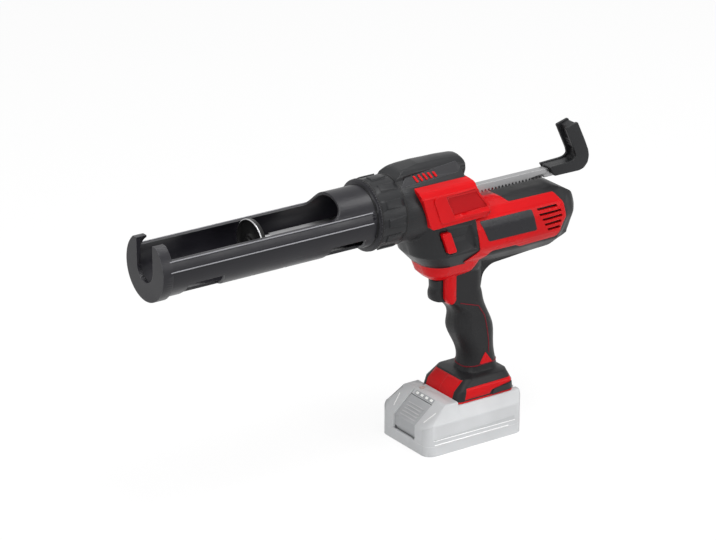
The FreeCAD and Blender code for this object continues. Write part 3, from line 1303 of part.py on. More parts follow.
def cartridge_holder():
    """Open trough with a slotted front cap, a sleeve and a flange that the ring holds."""
    sleeve_front = HOLDER_FLANGE_FRONT_X + HOLDER_SLEEVE_LENGTH
    cap_back = HOLDER_FRONT_X - HOLDER_CAP_LENGTH
    edge = AXIS_Z + HOLDER_EDGE_RISE
    trough = rod_x(HOLDER_RADIUS, (HOLDER_FLANGE_FRONT_X, HOLDER_FRONT_X - HOLDER_CAP_PLATE), AXIS_Z)
    rails = rod_x(HOLDER_RAIL_RADIUS, (HOLDER_RAIL_BACK_X, cap_back), AXIS_Z)
    reach = (-OVERRUN, OVERRUN)
    rails = rails.common(block((HOLDER_RAIL_BACK_X, cap_back), reach, (AXIS_Z + HOLDER_RAIL_LOW, edge)))
    mouth = [
        (sleeve_front, edge), (HOLDER_FRONT_X, edge), (HOLDER_FRONT_X, AXIS_Z + OVERRUN),
        (sleeve_front - HOLDER_RAIL_LOW, AXIS_Z + OVERRUN),
    ]
    opening = side_solid(mouth, [HOLDER_EDGE_ROUND, 0, 0, 0], reach)
    cap = rod_x(HOLDER_CAP_RADIUS, (cap_back, HOLDER_FRONT_X), AXIS_Z)
    slot_ends = (cap_back, HOLDER_FRONT_X)
    slot = rod_x(HOLDER_SLOT_HALF, slot_ends, AXIS_Z)
    slot_top = (AXIS_Z, AXIS_Z + OVERRUN)
    slot = slot.fuse(block(slot_ends, (-HOLDER_SLOT_HALF, HOLDER_SLOT_HALF), slot_top))
    horns = block(slot_ends, reach, (AXIS_Z + HOLDER_HORN_RISE, AXIS_Z + OVERRUN))
    flange = rod_x(HOLDER_FLANGE_RADIUS, (HOLDER_FLANGE_BACK_X, HOLDER_FLANGE_FRONT_X), AXIS_Z)
    neck = rod_x(HOLDER_NECK_RADIUS, (HOLDER_COLLAR_BACK_X, HOLDER_FLANGE_BACK_X), AXIS_Z)
    collar_ends = (HOLDER_COLLAR_BACK_X, HOLDER_COLLAR_BACK_X + HOLDER_COLLAR)
    collar = rod_x(HOLDER_COLLAR_RADIUS, collar_ends, AXIS_Z)
    body = joined([trough, rails]).cut(opening)
    body = joined([body, cap, flange, neck, collar])
    bore = rod_x(HOLDER_BORE, (HOLDER_COLLAR_BACK_X, HOLDER_FRONT_X - HOLDER_CAP_PLATE), AXIS_Z)
    return cut_all(body, [bore, slot, horns] + holder_windows())


def trigger():
    """Trigger with a hollow front, a hooked toe and a stem into the switch."""
    points = [
        (TRIGGER_BACK_X + x * TRIGGER_LENGTH, TRIGGER_BASE_Z + z * TRIGGER_HEIGHT)
        for x, z, turn in TRIGGER_SHARES
    ]
    radii = [share[2] * TRIGGER_ROUND for share in TRIGGER_SHARES]
    body = side_solid(points, radii, (-TRIGGER_HALF, TRIGGER_HALF))
    stem_ends = (TRIGGER_BACK_X - TRIGGER_STEM_LENGTH, TRIGGER_BACK_X)
    return body.fuse(rod_x(TRIGGER_STEM_RADIUS, stem_ends, TRIGGER_STEM_Z)).removeSplitter()


def switch_body():
    """Outside of the switch module in the grip."""
    middle = TRIGGER_STEM_Z
    ends = (TRIGGER_MIDDLE_X - SWITCH_LENGTH, TRIGGER_MIDDLE_X - SLIDE_GAP)
    heights = (middle - SWITCH_HEIGHT / 2, middle + SWITCH_HEIGHT / 2)
    return block(ends, (-SWITCH_HALF, SWITCH_HALF), heights)


def switch_module():
    """Switch with a bore for the trigger's stem."""
    reach = TRIGGER_STEM_LENGTH + TRIGGER_TRAVEL + SLIDE_GAP
    bore = rod_x(TRIGGER_STEM_RADIUS + RUN_FIT, (TRIGGER_BACK_X - reach, TRIGGER_BACK_X), TRIGGER_STEM_Z)
    return switch_body().cut(bore)


def terminal_well():
    """Opening in the foot's floor for the terminal blades."""
    half = TERMINAL_HALF
    ends = (TERMINAL_BACK_X, TERMINAL_BACK_X + TERMINAL_LENGTH)
    return block(ends, (-half, half), (HOUSING_BASE_Z - WALL, HOUSING_BASE_Z + WALL))


def terminal_block():
    """Block in the foot that carries the blades."""
    ends = (TERMINAL_BACK_X, TERMINAL_BACK_X + TERMINAL_LENGTH)
    return block(ends, (-TERMINAL_HALF, TERMINAL_HALF), (HOUSING_BASE_Z, HOUSING_BASE_Z + TERMINAL_HEIGHT))


def blade_places():
    """Places of the blades across the tool."""
    return [share * TERMINAL_HALF for share in BLADE_SHARES]


def terminal_blades():
    """Blades that reach down into the battery's slots."""
    ends = (TERMINAL_BACK_X + WALL, TERMINAL_BACK_X + TERMINAL_LENGTH - WALL)
    heights = (HOUSING_BASE_Z - BLADE_DROP, HOUSING_BASE_Z)
    half = BLADE_THICKNESS / 2
    return Part.makeCompound([block(ends, (y - half, y + half), heights) for y in blade_places()])


def battery_outline(z_ends, inset):
    """Block of the battery's plan with rounded corners between two heights."""
    half_length = BATTERY_LENGTH / 2 - inset
    radius = BATTERY_ROUND - inset
    wire = rounded_level((-half_length, half_length), BATTERY_HALF - inset, (radius, radius), z_ends[0])
    return Part.Face(wire).extrude(Vector(0, 0, z_ends[1] - z_ends[0]))


def battery_section(shares, height, inset):
    """Cross section of the battery up to a height, drawn along it."""
    points = [(y * BATTERY_HALF, z * height) for y, z, turn in shares]
    radii = [turn * BATTERY_ROUND for y, z, turn in shares]
    return section_solid(points, radii, (-BATTERY_LENGTH, BATTERY_LENGTH), inset)


def battery_deck(base, inset):
    """Upper part of the battery as a solid: plan, section and sloping front."""
    points = [(-BATTERY_LENGTH, base), (BATTERY_LENGTH / 2, base)]
    points += [(x * BATTERY_LENGTH, z * BATTERY_DECK_Z) for x, z in BATTERY_NOSE_SHARES]
    points += [(-BATTERY_LENGTH, BATTERY_DECK_Z)]
    nose = side_solid(points, [0] * len(points), (-OVERRUN, OVERRUN), inset)
    level = battery_outline((base, BATTERY_DECK_Z), inset)
    return level.common(nose).common(battery_section(BATTERY_SECTION_SHARES, BATTERY_DECK_Z, inset))


def battery_lower():
    """Lower case of the battery, an open tray."""
    tray = battery_outline((0, BATTERY_SPLIT_Z), 0)
    return tray.cut(battery_outline((BATTERY_WALL, BATTERY_SPLIT_Z), BATTERY_WALL))


def hump_back_x():
    """Rear face of the hump, just ahead of the foot."""
    return FOOT_BACK_X + FOOT_LENGTH + SLIDE_GAP


def hump_places(shares):
    """Points in shares of the hump's length and height."""
    back, length = hump_back_x(), BATTERY_LENGTH / 2 - hump_back_x()
    return [(back + share[0] * length, share[1] * HUMP_TOP_Z) for share in shares]


def hump_form():
    """Raised front of the battery's deck, with a sloping face."""
    points = [(hump_back_x(), HUMP_BASE_Z), (BATTERY_LENGTH / 2, HUMP_BASE_Z)] + hump_places(HUMP_SHARES)
    radii = [0, 0] + [share[2] * BATTERY_ROUND for share in HUMP_SHARES]
    hump = side_solid(points, radii, (-OVERRUN, OVERRUN))
    section = battery_section(HUMP_SECTION_SHARES, HUMP_TOP_Z, 0)
    return hump.common(section).common(battery_outline((0, HUMP_TOP_Z), 0))


def latch_space():
    """Pocket in the hump for the latch and its travel."""
    points = hump_places(LATCH_SHARES)
    low = points[0][1] - LATCH_TRAVEL - SLIDE_GAP
    back = min(point[0] for point in points) - SLIDE_GAP
    half = LATCH_HALF + SLIDE_GAP
    return block((back, BATTERY_LENGTH), (-half, half), (low, HUMP_TOP_Z + OVERRUN))


def rail_channels():
    """Undercut channels on both sides of the tongue, open at the back, for the foot's rails."""
    far = TONGUE_HALF + RAIL_WIDTH + 2 * SLIDE_GAP
    floor = HOUSING_BASE_Z - RAIL_DROP - SLIDE_GAP
    ends = (-BATTERY_LENGTH, hump_back_x())
    slot = block(ends, (TONGUE_HALF, far), (floor, HUMP_TOP_Z))
    left = slot.fuse(block(ends, (TONGUE_NECK_HALF, far), (floor, BATTERY_DECK_Z - TONGUE_FLANGE)))
    return [left, left.mirror(Vector(), Vector(0, 1, 0))]


def battery_upper():
    """Upper case with the rail channels, the hump, the latch pocket and the blade slots."""
    space = block((-BATTERY_LENGTH, BATTERY_LENGTH), (-OVERRUN, OVERRUN), (-OVERRUN, BATTERY_HOLLOW_Z))
    hollow = battery_deck(-OVERRUN, BATTERY_WALL).common(space)
    case = joined([battery_deck(BATTERY_SPLIT_Z, 0), hump_form()]).cut(hollow)
    half = BLADE_SLOT / 2
    low = HOUSING_BASE_Z - BLADE_DROP - SLIDE_GAP
    ends = (-BATTERY_LENGTH, TERMINAL_BACK_X + TERMINAL_LENGTH)
    slots = [block(ends, (y - half, y + half), (low, HUMP_TOP_Z)) for y in blade_places()]
    return cut_all(case, slots + rail_channels() + [latch_space(), gauge_button_space()])


def battery_latch():
    """Latch button that is pushed down to free the battery."""
    points = hump_places(LATCH_SHARES)
    return side_solid(points, [0] * len(points), (-LATCH_HALF, LATCH_HALF))


def gauge_button_place():
    """Place of the gauge button on the hump's top."""
    length = BATTERY_LENGTH / 2 - hump_back_x()
    return hump_back_x() + GAUGE_BUTTON_SHARES[0] * length, GAUGE_BUTTON_SHARES[1] * BATTERY_HALF


def gauge_button_space():
    """Well for the gauge button."""
    x, y = gauge_button_place()
    low = HUMP_TOP_Z - GAUGE_BUTTON_DEPTH - GAUGE_BUTTON_RISE
    return rod_z(GAUGE_BUTTON_RADIUS + SLIDE_GAP / 2, (low, HUMP_TOP_Z), x, y)


def gauge_button():
    """Small round button that lights the charge gauge."""
    x, y = gauge_button_place()
    return rod_z(GAUGE_BUTTON_RADIUS, (HUMP_TOP_Z - GAUGE_BUTTON_DEPTH, HUMP_TOP_Z + GAUGE_BUTTON_RISE), x, y)


def battery_cells():
    """Row of round cells across the battery."""
    half = CELL_LENGTH / 2
    first = -(CELL_COUNT - 1) / 2 * CELL_PITCH
    height = BATTERY_WALL + CELL_RADIUS
    return Part.makeCompound([
        rod_y(CELL_RADIUS, (-half, half), first + index * CELL_PITCH, height) for index in range(CELL_COUNT)
    ])


def case_screws():
    """Screws that hold the clamshell halves together."""
    screws = []
    for x, z, head_y in screw_places():
        head = rod_y(SCREW_HEAD_RADIUS, (head_y - SCREW_HEAD, head_y), x, z)
        screws.append(head.fuse(rod_y(SCREW_RADIUS, (head_y, SCREW_TIP_DEPTH), x, z)).removeSplitter())
    return Part.makeCompound(screws)


def hook_pin():
    """Cross pin through the pull handle and the rod."""
    return rod_y(HOOK_PIN_RADIUS, (-HOOK_HALF, HOOK_HALF), hook_pin_x(), ROD_Z)


def all_parts():
    """Every piece by its name."""
    body, skin = clamshell()
    housing_left, housing_right = halves(body)
    overmould_left, overmould_right = halves(skin)
    outer = FRAME_PLATE_Y + FRAME_PLATE
    parts = {
        "housing_left": housing_left,
        "housing_right": housing_right,
        "overmould_left": overmould_left,
        "overmould_right": overmould_right,
        "front_housing": front_housing(),
        "locking_ring": locking_ring(),
        "cartridge_holder": cartridge_holder(),
        "rack_rod": rack_rod(),
        "push_plate": push_plate(),
        "push_plate_screw": plate_screw(),
        "pull_handle": pull_handle(),
        "pull_handle_pin": hook_pin(),
        "front_rod_guide": rod_guide((SPIGOT_FRONT_X - WALL, SPIGOT_FRONT_X)),
        "rear_rod_guide": rod_guide((tool_x(BOX_SIDE_SHARES[-1][0]), tool_x(BOX_SIDE_SHARES[-2][0]))),
        "frame_plate_left": frame_plate((FRAME_PLATE_Y, outer)),
        "frame_plate_right": frame_plate((-outer, -FRAME_PLATE_Y)),
        "frame_spacers": frame_spacers(),
        "drive_shaft": drive_shaft(),
        "rack_pinion": rack_pinion(),
        "spur_gear": spur_gear(),
        "drive_bushes": cross_bushes(DRIVE_SHAFT_RADIUS, DRIVE_Z),
        "lay_shaft": lay_shaft(),
        "spur_pinion": spur_pinion(),
        "bevel_gear": bevel_gear(),
        "lay_bushes": cross_bushes(LAY_SHAFT_RADIUS, LAY_Z),
        "bevel_pinion": bevel_pinion(),
        "planet_carrier": planet_carrier(),
        "output_bush": output_bush(),
        "gearbox_flange": gearbox_flange(),
        "ring_gear": ring_gear(),
        "gearbox_rear_plate": gearbox_rear_plate(),
        "sun_gear": sun_gear(),
        "motor_can": motor_can(),
        "motor_magnets": motor_magnets(),
        "motor_end_bell": motor_end_bell(),
        "armature": armature(),
        "commutator": commutator(),
        "motor_shaft": motor_shaft(),
        "cooling_fan": cooling_fan(),
        "trigger": trigger(),
        "switch_module": switch_module(),
        "side_slider": side_slider(),
        "terminal_block": terminal_block(),
        "terminal_blades": terminal_blades(),
        "battery_lower_case": battery_lower(),
        "battery_upper_case": battery_upper(),
        "battery_latch": battery_latch(),
        "gauge_button": gauge_button(),
        "battery_cells": battery_cells(),
        "case_screws": case_screws(),
    }
    for index in range(PLANET_COUNT):
        parts[f"planet_gear_{index + 1}"] = planet_gear(index)
    return parts


os.makedirs("parts", exist_ok=True)
for name, shape in all_parts().items():
    print(name, "solids", len(shape.Solids), "volume", round(shape.Volume), "valid", shape.isValid())
    shape.exportStep(f"parts/{name}.step")
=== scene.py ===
"""Looks of a cordless caulking tool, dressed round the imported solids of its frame."""

import json
import logging
import math
from collections.abc import Callable, Sequence
from dataclasses import dataclass, replace
from enum import Enum

import bmesh
import bpy
from bmesh.types import BMesh, BMFace, BMVert
from bpy.types import ID, Material, Mesh, Node, NodeSocket, NodeTree, Object
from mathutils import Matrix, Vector
from mathutils.bvhtree import BVHTree

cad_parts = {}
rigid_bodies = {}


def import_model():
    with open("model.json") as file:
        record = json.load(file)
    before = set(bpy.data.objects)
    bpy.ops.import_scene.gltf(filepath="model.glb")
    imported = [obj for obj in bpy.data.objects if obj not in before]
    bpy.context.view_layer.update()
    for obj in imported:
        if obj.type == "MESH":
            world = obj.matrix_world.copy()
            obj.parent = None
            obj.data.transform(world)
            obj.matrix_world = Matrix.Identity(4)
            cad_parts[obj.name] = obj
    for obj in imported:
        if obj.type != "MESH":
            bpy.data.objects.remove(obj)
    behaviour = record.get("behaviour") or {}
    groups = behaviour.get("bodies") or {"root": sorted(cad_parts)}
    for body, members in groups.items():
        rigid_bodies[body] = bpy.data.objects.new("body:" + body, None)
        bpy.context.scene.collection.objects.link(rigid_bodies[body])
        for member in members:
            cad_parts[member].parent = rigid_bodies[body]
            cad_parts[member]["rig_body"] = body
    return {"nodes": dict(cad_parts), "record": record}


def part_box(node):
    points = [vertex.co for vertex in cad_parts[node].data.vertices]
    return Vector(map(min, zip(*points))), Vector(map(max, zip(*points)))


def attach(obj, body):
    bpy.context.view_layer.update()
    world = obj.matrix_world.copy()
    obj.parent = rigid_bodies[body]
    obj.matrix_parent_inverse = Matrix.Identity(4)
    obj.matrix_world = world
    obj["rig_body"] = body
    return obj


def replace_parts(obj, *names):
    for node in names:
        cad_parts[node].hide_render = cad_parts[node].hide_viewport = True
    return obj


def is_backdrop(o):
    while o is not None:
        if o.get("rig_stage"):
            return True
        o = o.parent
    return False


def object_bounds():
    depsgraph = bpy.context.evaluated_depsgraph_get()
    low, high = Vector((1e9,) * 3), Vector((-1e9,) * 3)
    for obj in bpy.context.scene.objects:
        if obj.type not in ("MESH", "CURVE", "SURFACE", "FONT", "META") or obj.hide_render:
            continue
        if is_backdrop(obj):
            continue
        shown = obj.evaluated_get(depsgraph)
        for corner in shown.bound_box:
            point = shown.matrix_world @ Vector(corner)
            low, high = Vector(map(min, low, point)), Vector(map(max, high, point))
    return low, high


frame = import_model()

Pair = tuple[float, float]
Triple = tuple[float, float, float]
Route = tuple[Pair, ...]

# Lengths in metres: a millimetre, a place clear of the tool, and three tolerances
MM = 0.001
FAR = 0.2
NEAR = 1e-5
WELD = 2e-6
ON_PLANE = 1e-7
# The mesh width of a plate that follows the surface in mm, and the sharp edges of trim in degrees
GRID = 2.5
TRIM_CREASE = 35.0
# Shading: the rays of a soft edge, and the range that most of a noise lies in
BEVEL_SAMPLES = 6
NOISE_RANGE = (0.3, 0.7)
ALONG, ACROSS, UP = Vector((1, 0, 0)), Vector((0, 1, 0)), Vector((0, 0, 1))
FLOAT, VECTOR, COLOUR = "NodeSocketFloat", "NodeSocketVector", "NodeSocketColor"
log = logging.getLogger("caulking_tool")


class Side(Enum):
    """The two sides of the tool, as the sign of their Y."""

    LEFT = 1
    RIGHT = -1

    @property
    def word(self) -> str:
        """The name of the side, for the names of pieces."""
        return self.name.lower()

    def point(self, place: Triple) -> Vector:
        """Finds a place of the left side on this side.

        Args:
            place: the place on the left side, in mm.

        Returns:
            The place on this side, in metres.
        """
        x, y, z = place
        return Vector((x, self.value * y, z)) * MM


class Texture(Enum):
    """The surface textures that a finish can carry."""

    GRAIN = "grain"
    BRUSHED = "brushed"
    DOTS = "dots"


class Slot(Enum):
    """The material slots of the record."""

    RED = "red_plastic"
    DARK = "dark_plastic"
    RUBBER = "dark_rubber"
    HOLDER = "holder_plastic"
    ROD = "rod_steel"
    GEAR = "gear_steel"
    PLATE = "plate_steel"
    BRONZE = "bush_bronze"
    ALLOY = "gearbox_alloy"
    MOTOR = "motor_steel"
    MAGNET = "magnet"
    IRON = "core_iron"
    COPPER = "copper"
    INNER = "inner_plastic"
    PALE = "pale_plastic"
    LATCH = "latch_plastic"
    GAUGE = "gauge_plastic"
    CELL = "cell_wrap"
    SCREW = "screw_steel"


class Trim(Enum):
    """The finishes of small trim, beside those of the slots."""

    RAIL = "rail_edge"
    WHITE = "white_line"
    FILM = "label_film"
    LIGHT = "light_lens"
    POCKET = "pocket_grey"
    RIB = "rib_grey"
    MARK = "mark_red"
    DIM = "dim_red"
    SHADED_RED = "deep_red"
    THIN = "thin_dark"
    GRIP = "handle_rib"
    PANEL = "panel_grey"
    PLUNGER = "plunger_black"
    CHEEK = "cheek_gloss"


@dataclass(frozen=True)
class Dress:
    """What a piece belongs to: its slot, its body, and its trim finish if it has one."""

    slot: Slot
    body: str
    trim: Trim | None = None

    @property
    def finish(self) -> Slot | Trim:
        """The key of the finish that shows."""
        return self.trim or self.slot


@dataclass(frozen=True)
class Plate:
    """A thin plate on a side of the tool, in mm: how far it stands out and goes in."""

    outline: Route
    corner: float
    lift: float
    sink: float = 0.4


@dataclass(frozen=True)
class Row:
    """A row of flat plates, in mm and degrees, turned as a whole and leaning in their plane."""

    start: Triple
    plate: Triple
    turn: Triple
    step: Triple = (0.0, 0.0, 1.0)
    count: int = 1
    corner: float = 0.4
    lean: float = 0.0

    def on(self, side: Side) -> "Row":
        """Mirrors a row of the left side.

        Args:
            side: the side that it is wanted on.

        Returns:
            The row on that side.
        """
        sign = side.value
        (x, y, z), (dx, dy, dz), (roll, pitch, yaw) = self.start, self.step, self.turn
        places = {"start": (x, sign * y, z), "step": (dx, sign * dy, dz)}
        return replace(self, **places, turn=(sign * roll, pitch, yaw), lean=sign * self.lean)


class Graph:
    """A node tree with short ways to add and join its nodes."""

    def __init__(self, tree: NodeTree) -> None:
        """Takes over a tree and empties it.

        Args:
            tree: the node tree to fill.
        """
        self.tree = tree
        tree.nodes.clear()

    def feed(self, node: Node, inputs: dict) -> None:
        """Sets or joins inputs of a node.

        Args:
            node: the node.
            inputs: values or output sockets, by the name or number of the input.
        """
        for name, value in inputs.items():
            if isinstance(value, NodeSocket):
                self.tree.links.new(value, node.inputs[name])
            else:
                node.inputs[name].default_value = value

    def add(self, kind: str, inputs: dict | None = None, **settings: object) -> Node:
        """Adds a node.

        Args:
            kind: the type name of the node.
            inputs: what its inputs get.
            settings: attributes of the node itself.

        Returns:
            The new node.
        """
        node = self.tree.nodes.new(kind)
        for name, value in settings.items():
            setattr(node, name, value)
        self.feed(node, inputs or {})
        return node

    def calc(self, operation: str, *values: object) -> NodeSocket:
        """Adds a Math node.

        Args:
            operation: the name of the operation.
            values: constants or sockets, in order.

        Returns:
            The output socket.
        """
        return self.add("ShaderNodeMath", dict(enumerate(values)), operation=operation).outputs[0]

    def ranged(self, value: object, source: Pair, target: Pair) -> NodeSocket:
        """Adds a Map Range node.

        Args:
            value: the socket to map.
            source: the ends of its range.
            target: what the ends become.

        Returns:
            The output socket.
        """
        ends = {1: source[0], 2: source[1], 3: target[0], 4: target[1]}
        return self.add("ShaderNodeMapRange", {0: value, **ends}).outputs[0]

    def noise(self, place: NodeSocket, scale: object, detail: float = 2.0, rough: float = 0.5) -> NodeSocket:
        """Adds a Noise Texture node.

        Args:
            place: the socket of the coordinates.
            scale: its scale, as a value or a socket.
            detail: the number of its octaves.
            rough: how much the finer octaves count.

        Returns:
            The output socket.
        """
        values = {"Vector": place, "Scale": scale, "Detail": detail, "Roughness": rough}
        return self.add("ShaderNodeTexNoise", values).outputs[0]


class Effects:
    """The shader node groups that the finishes share, each made once."""

    # The rim of a dot as a share of its cell, and the heights in metres where the dots start and end
    DOT_EDGE = (0.22, 0.42)
    GRIP_FOOT = (0.070, 0.078)
    GRIP_THROAT = (0.132, 0.140)
    # How far the softened normal leaves the true one where the rubbed edge and its painted highlight start,
    # and where they are full
    EDGE_TURN = (0.95, 0.82)

    def __init__(self) -> None:
        """Builds the groups."""
        self.textures = {
            Texture.GRAIN: self._grain(),
            Texture.BRUSHED: self._brushed(),
            Texture.DOTS: self._dots(),
        }
        self.tone = self._tone()
        self.rub_and_highlight = self._rub_and_highlight()

    @staticmethod
    def _group(name: str, inputs: dict[str, str], outputs: dict[str, str]) -> tuple:
        """Starts a shader group.

        Args:
            name: the name of the group.
            inputs: the socket types of the inputs, by name.
            outputs: the socket types of the outputs, by name.

        Returns:
            The graph, its inner inputs, its output node and the object coordinates.
        """
        tree = bpy.data.node_groups.new(name, "ShaderNodeTree")
        for way, sockets in (("INPUT", inputs), ("OUTPUT", outputs)):
            for label, kind in sockets.items():
                tree.interface.new_socket(name=label, in_out=way, socket_type=kind)
        graph = Graph(tree)
        source, sink = graph.add("NodeGroupInput").outputs, graph.add("NodeGroupOutput")
        return graph, source, sink, graph.add("ShaderNodeTexCoord").outputs["Object"]

    def _texture(self, name: str) -> tuple:
        """Starts a group that makes a height and a value at a scale.

        Args:
            name: the name of the group.

        Returns:
            The graph, its inner inputs, its output node and the object coordinates.
        """
        return self._group(name, {"Scale": FLOAT}, {"Height": FLOAT, "Value": FLOAT})

    def _grain(self) -> NodeTree:
        """Makes the fine grain of a moulded surface.

        Returns:
            The group.
        """
        graph, source, sink, place = self._texture("moulded_grain")
        fine = graph.noise(place, source["Scale"], detail=3.0, rough=0.55)
        graph.feed(sink, {"Height": fine, "Value": graph.noise(place, scale=38.0)})
        return graph.tree

    def _brushed(self) -> NodeTree:
        """Makes the fine lengthwise lines of ground steel.

        Returns:
            The group.
        """
        graph, source, sink, place = self._texture("brushed_lines")
        drawn = graph.add("ShaderNodeMapping", {"Vector": place, "Scale": (0.04, 1.0, 1.0)})
        lines = graph.noise(drawn.outputs[0], source["Scale"])
        graph.feed(sink, {"Height": lines, "Value": lines})
        return graph.tree

    def _dots(self) -> NodeTree:
        """Makes the raised dots of a soft grip, between the foot and the throat.

        Returns:
            The group.
        """
        graph, source, sink, place = self._texture("grip_dots")
        spread = {"Vector": place, "Scale": source["Scale"], "Randomness": 0.25}
        cells = graph.add("ShaderNodeTexVoronoi", spread)
        dot = graph.ranged(cells.outputs["Distance"], self.DOT_EDGE, (1.0, 0.0))
        height = graph.add("ShaderNodeSeparateXYZ", {0: place}).outputs["Z"]
        low = graph.ranged(height, self.GRIP_FOOT, (0.0, 1.0))
        high = graph.ranged(height, self.GRIP_THROAT, (1.0, 0.0))
        raised = graph.calc("MULTIPLY", dot, graph.calc("MULTIPLY", low, high))
        graph.feed(sink, {"Height": raised, "Value": graph.noise(place, scale=46.0)})
        return graph.tree

    def _tone(self) -> NodeTree:
        """Makes the slow change of a colour over a surface.

        Returns:
            The group.
        """
        graph, source, sink, place = self._group("slow_tone", {"Colour": COLOUR}, {"Colour": COLOUR})
        cloud = graph.noise(place, scale=22.0, detail=3.0)
        value = graph.ranged(cloud, NOISE_RANGE, (0.93, 1.07))
        toned = graph.add("ShaderNodeHueSaturation", {"Value": value, "Color": source["Colour"]})
        graph.feed(sink, {"Colour": toned.outputs[0]})
        return graph.tree

    def _rub_and_highlight(self) -> NodeTree:
        """Makes the mask of rubbed outer edges, which also carries a painted edge highlight.

        Returns:
            The group.
        """
        graph, source, sink, place = self._group("edge_rub_and_highlight", {"Radius": FLOAT}, {"Mask": FLOAT})
        facing = graph.add("ShaderNodeNewGeometry").outputs["Normal"]
        turned = graph.add("ShaderNodeBevel", {"Radius": source["Radius"]}, samples=BEVEL_SAMPLES)
        normals = {0: facing, 1: turned.outputs[0]}
        alike = graph.add("ShaderNodeVectorMath", normals, operation="DOT_PRODUCT").outputs["Value"]
        edge = graph.ranged(alike, self.EDGE_TURN, (0.0, 1.0))
        patchy = graph.ranged(graph.noise(place, scale=240.0), (0.35, 0.65), (0.45, 1.0))
        graph.feed(sink, {"Mask": graph.calc("MULTIPLY", edge, patchy)})
        return graph.tree


@dataclass(frozen=True)
class Finish:
    """A finish: what a surface is made of and how it is textured."""

    name: str
    colour: Triple
    # The colour at the masked edges: partly wear, partly a painted edge highlight
    rubbed_and_highlit: Triple
    rough: float
    metal: float = 0.0
    texture: Texture = Texture.GRAIN
    scale: float = 2400.0
    depth: float = 0.00003
    shine: float = 0.3
    soft_edge: float = 0.0006
    sway: float = 0.06

    def material(self, effects: Effects) -> Material:
        """Builds the material.

        Args:
            effects: the shared node groups.

        Returns:
            The material.
        """
        made = bpy.data.materials.new(self.name)
        made.use_nodes = True
        graph = Graph(made.node_tree)
        relief_tree = effects.textures[self.texture]
        texture = graph.add("ShaderNodeGroup", {"Scale": self.scale}, node_tree=relief_tree)
        tone = graph.add("ShaderNodeGroup", {"Colour": (*self.colour, 1.0)}, node_tree=effects.tone)
        rub_and_highlight = graph.add("ShaderNodeGroup", {"Radius": self.soft_edge}, node_tree=effects.rub_and_highlight)
        # The edge mask mixes in the edge colour: a painted highlight on rubbed edges
        shades = {0: rub_and_highlight.outputs["Mask"], 6: tone.outputs["Colour"], 7: (*self.rubbed_and_highlit, 1.0)}
        span = (self.rough - self.sway, self.rough + self.sway)
        edge = graph.add("ShaderNodeBevel", {"Radius": self.soft_edge}, samples=BEVEL_SAMPLES)
        relief = {"Strength": 1.0, "Distance": self.depth}
        relief |= {"Height": texture.outputs["Height"], "Normal": edge.outputs[0]}
        surface = graph.add(
            "ShaderNodeBsdfPrincipled",
            {
                "Base Color": graph.add("ShaderNodeMix", shades, data_type="RGBA").outputs[2],
                "Roughness": graph.ranged(texture.outputs["Value"], NOISE_RANGE, span),
                "Normal": graph.add("ShaderNodeBump", relief).outputs[0],
                "Metallic": self.metal,
                "Specular IOR Level": self.shine,
            },
        )
        graph.add("ShaderNodeOutputMaterial", {"Surface": surface.outputs[0]})
        return made


@dataclass(frozen=True)
class ThinFinish(Finish):
    """The finish of trim that is too thin for a soft edge."""

    soft_edge: float = 0.00005
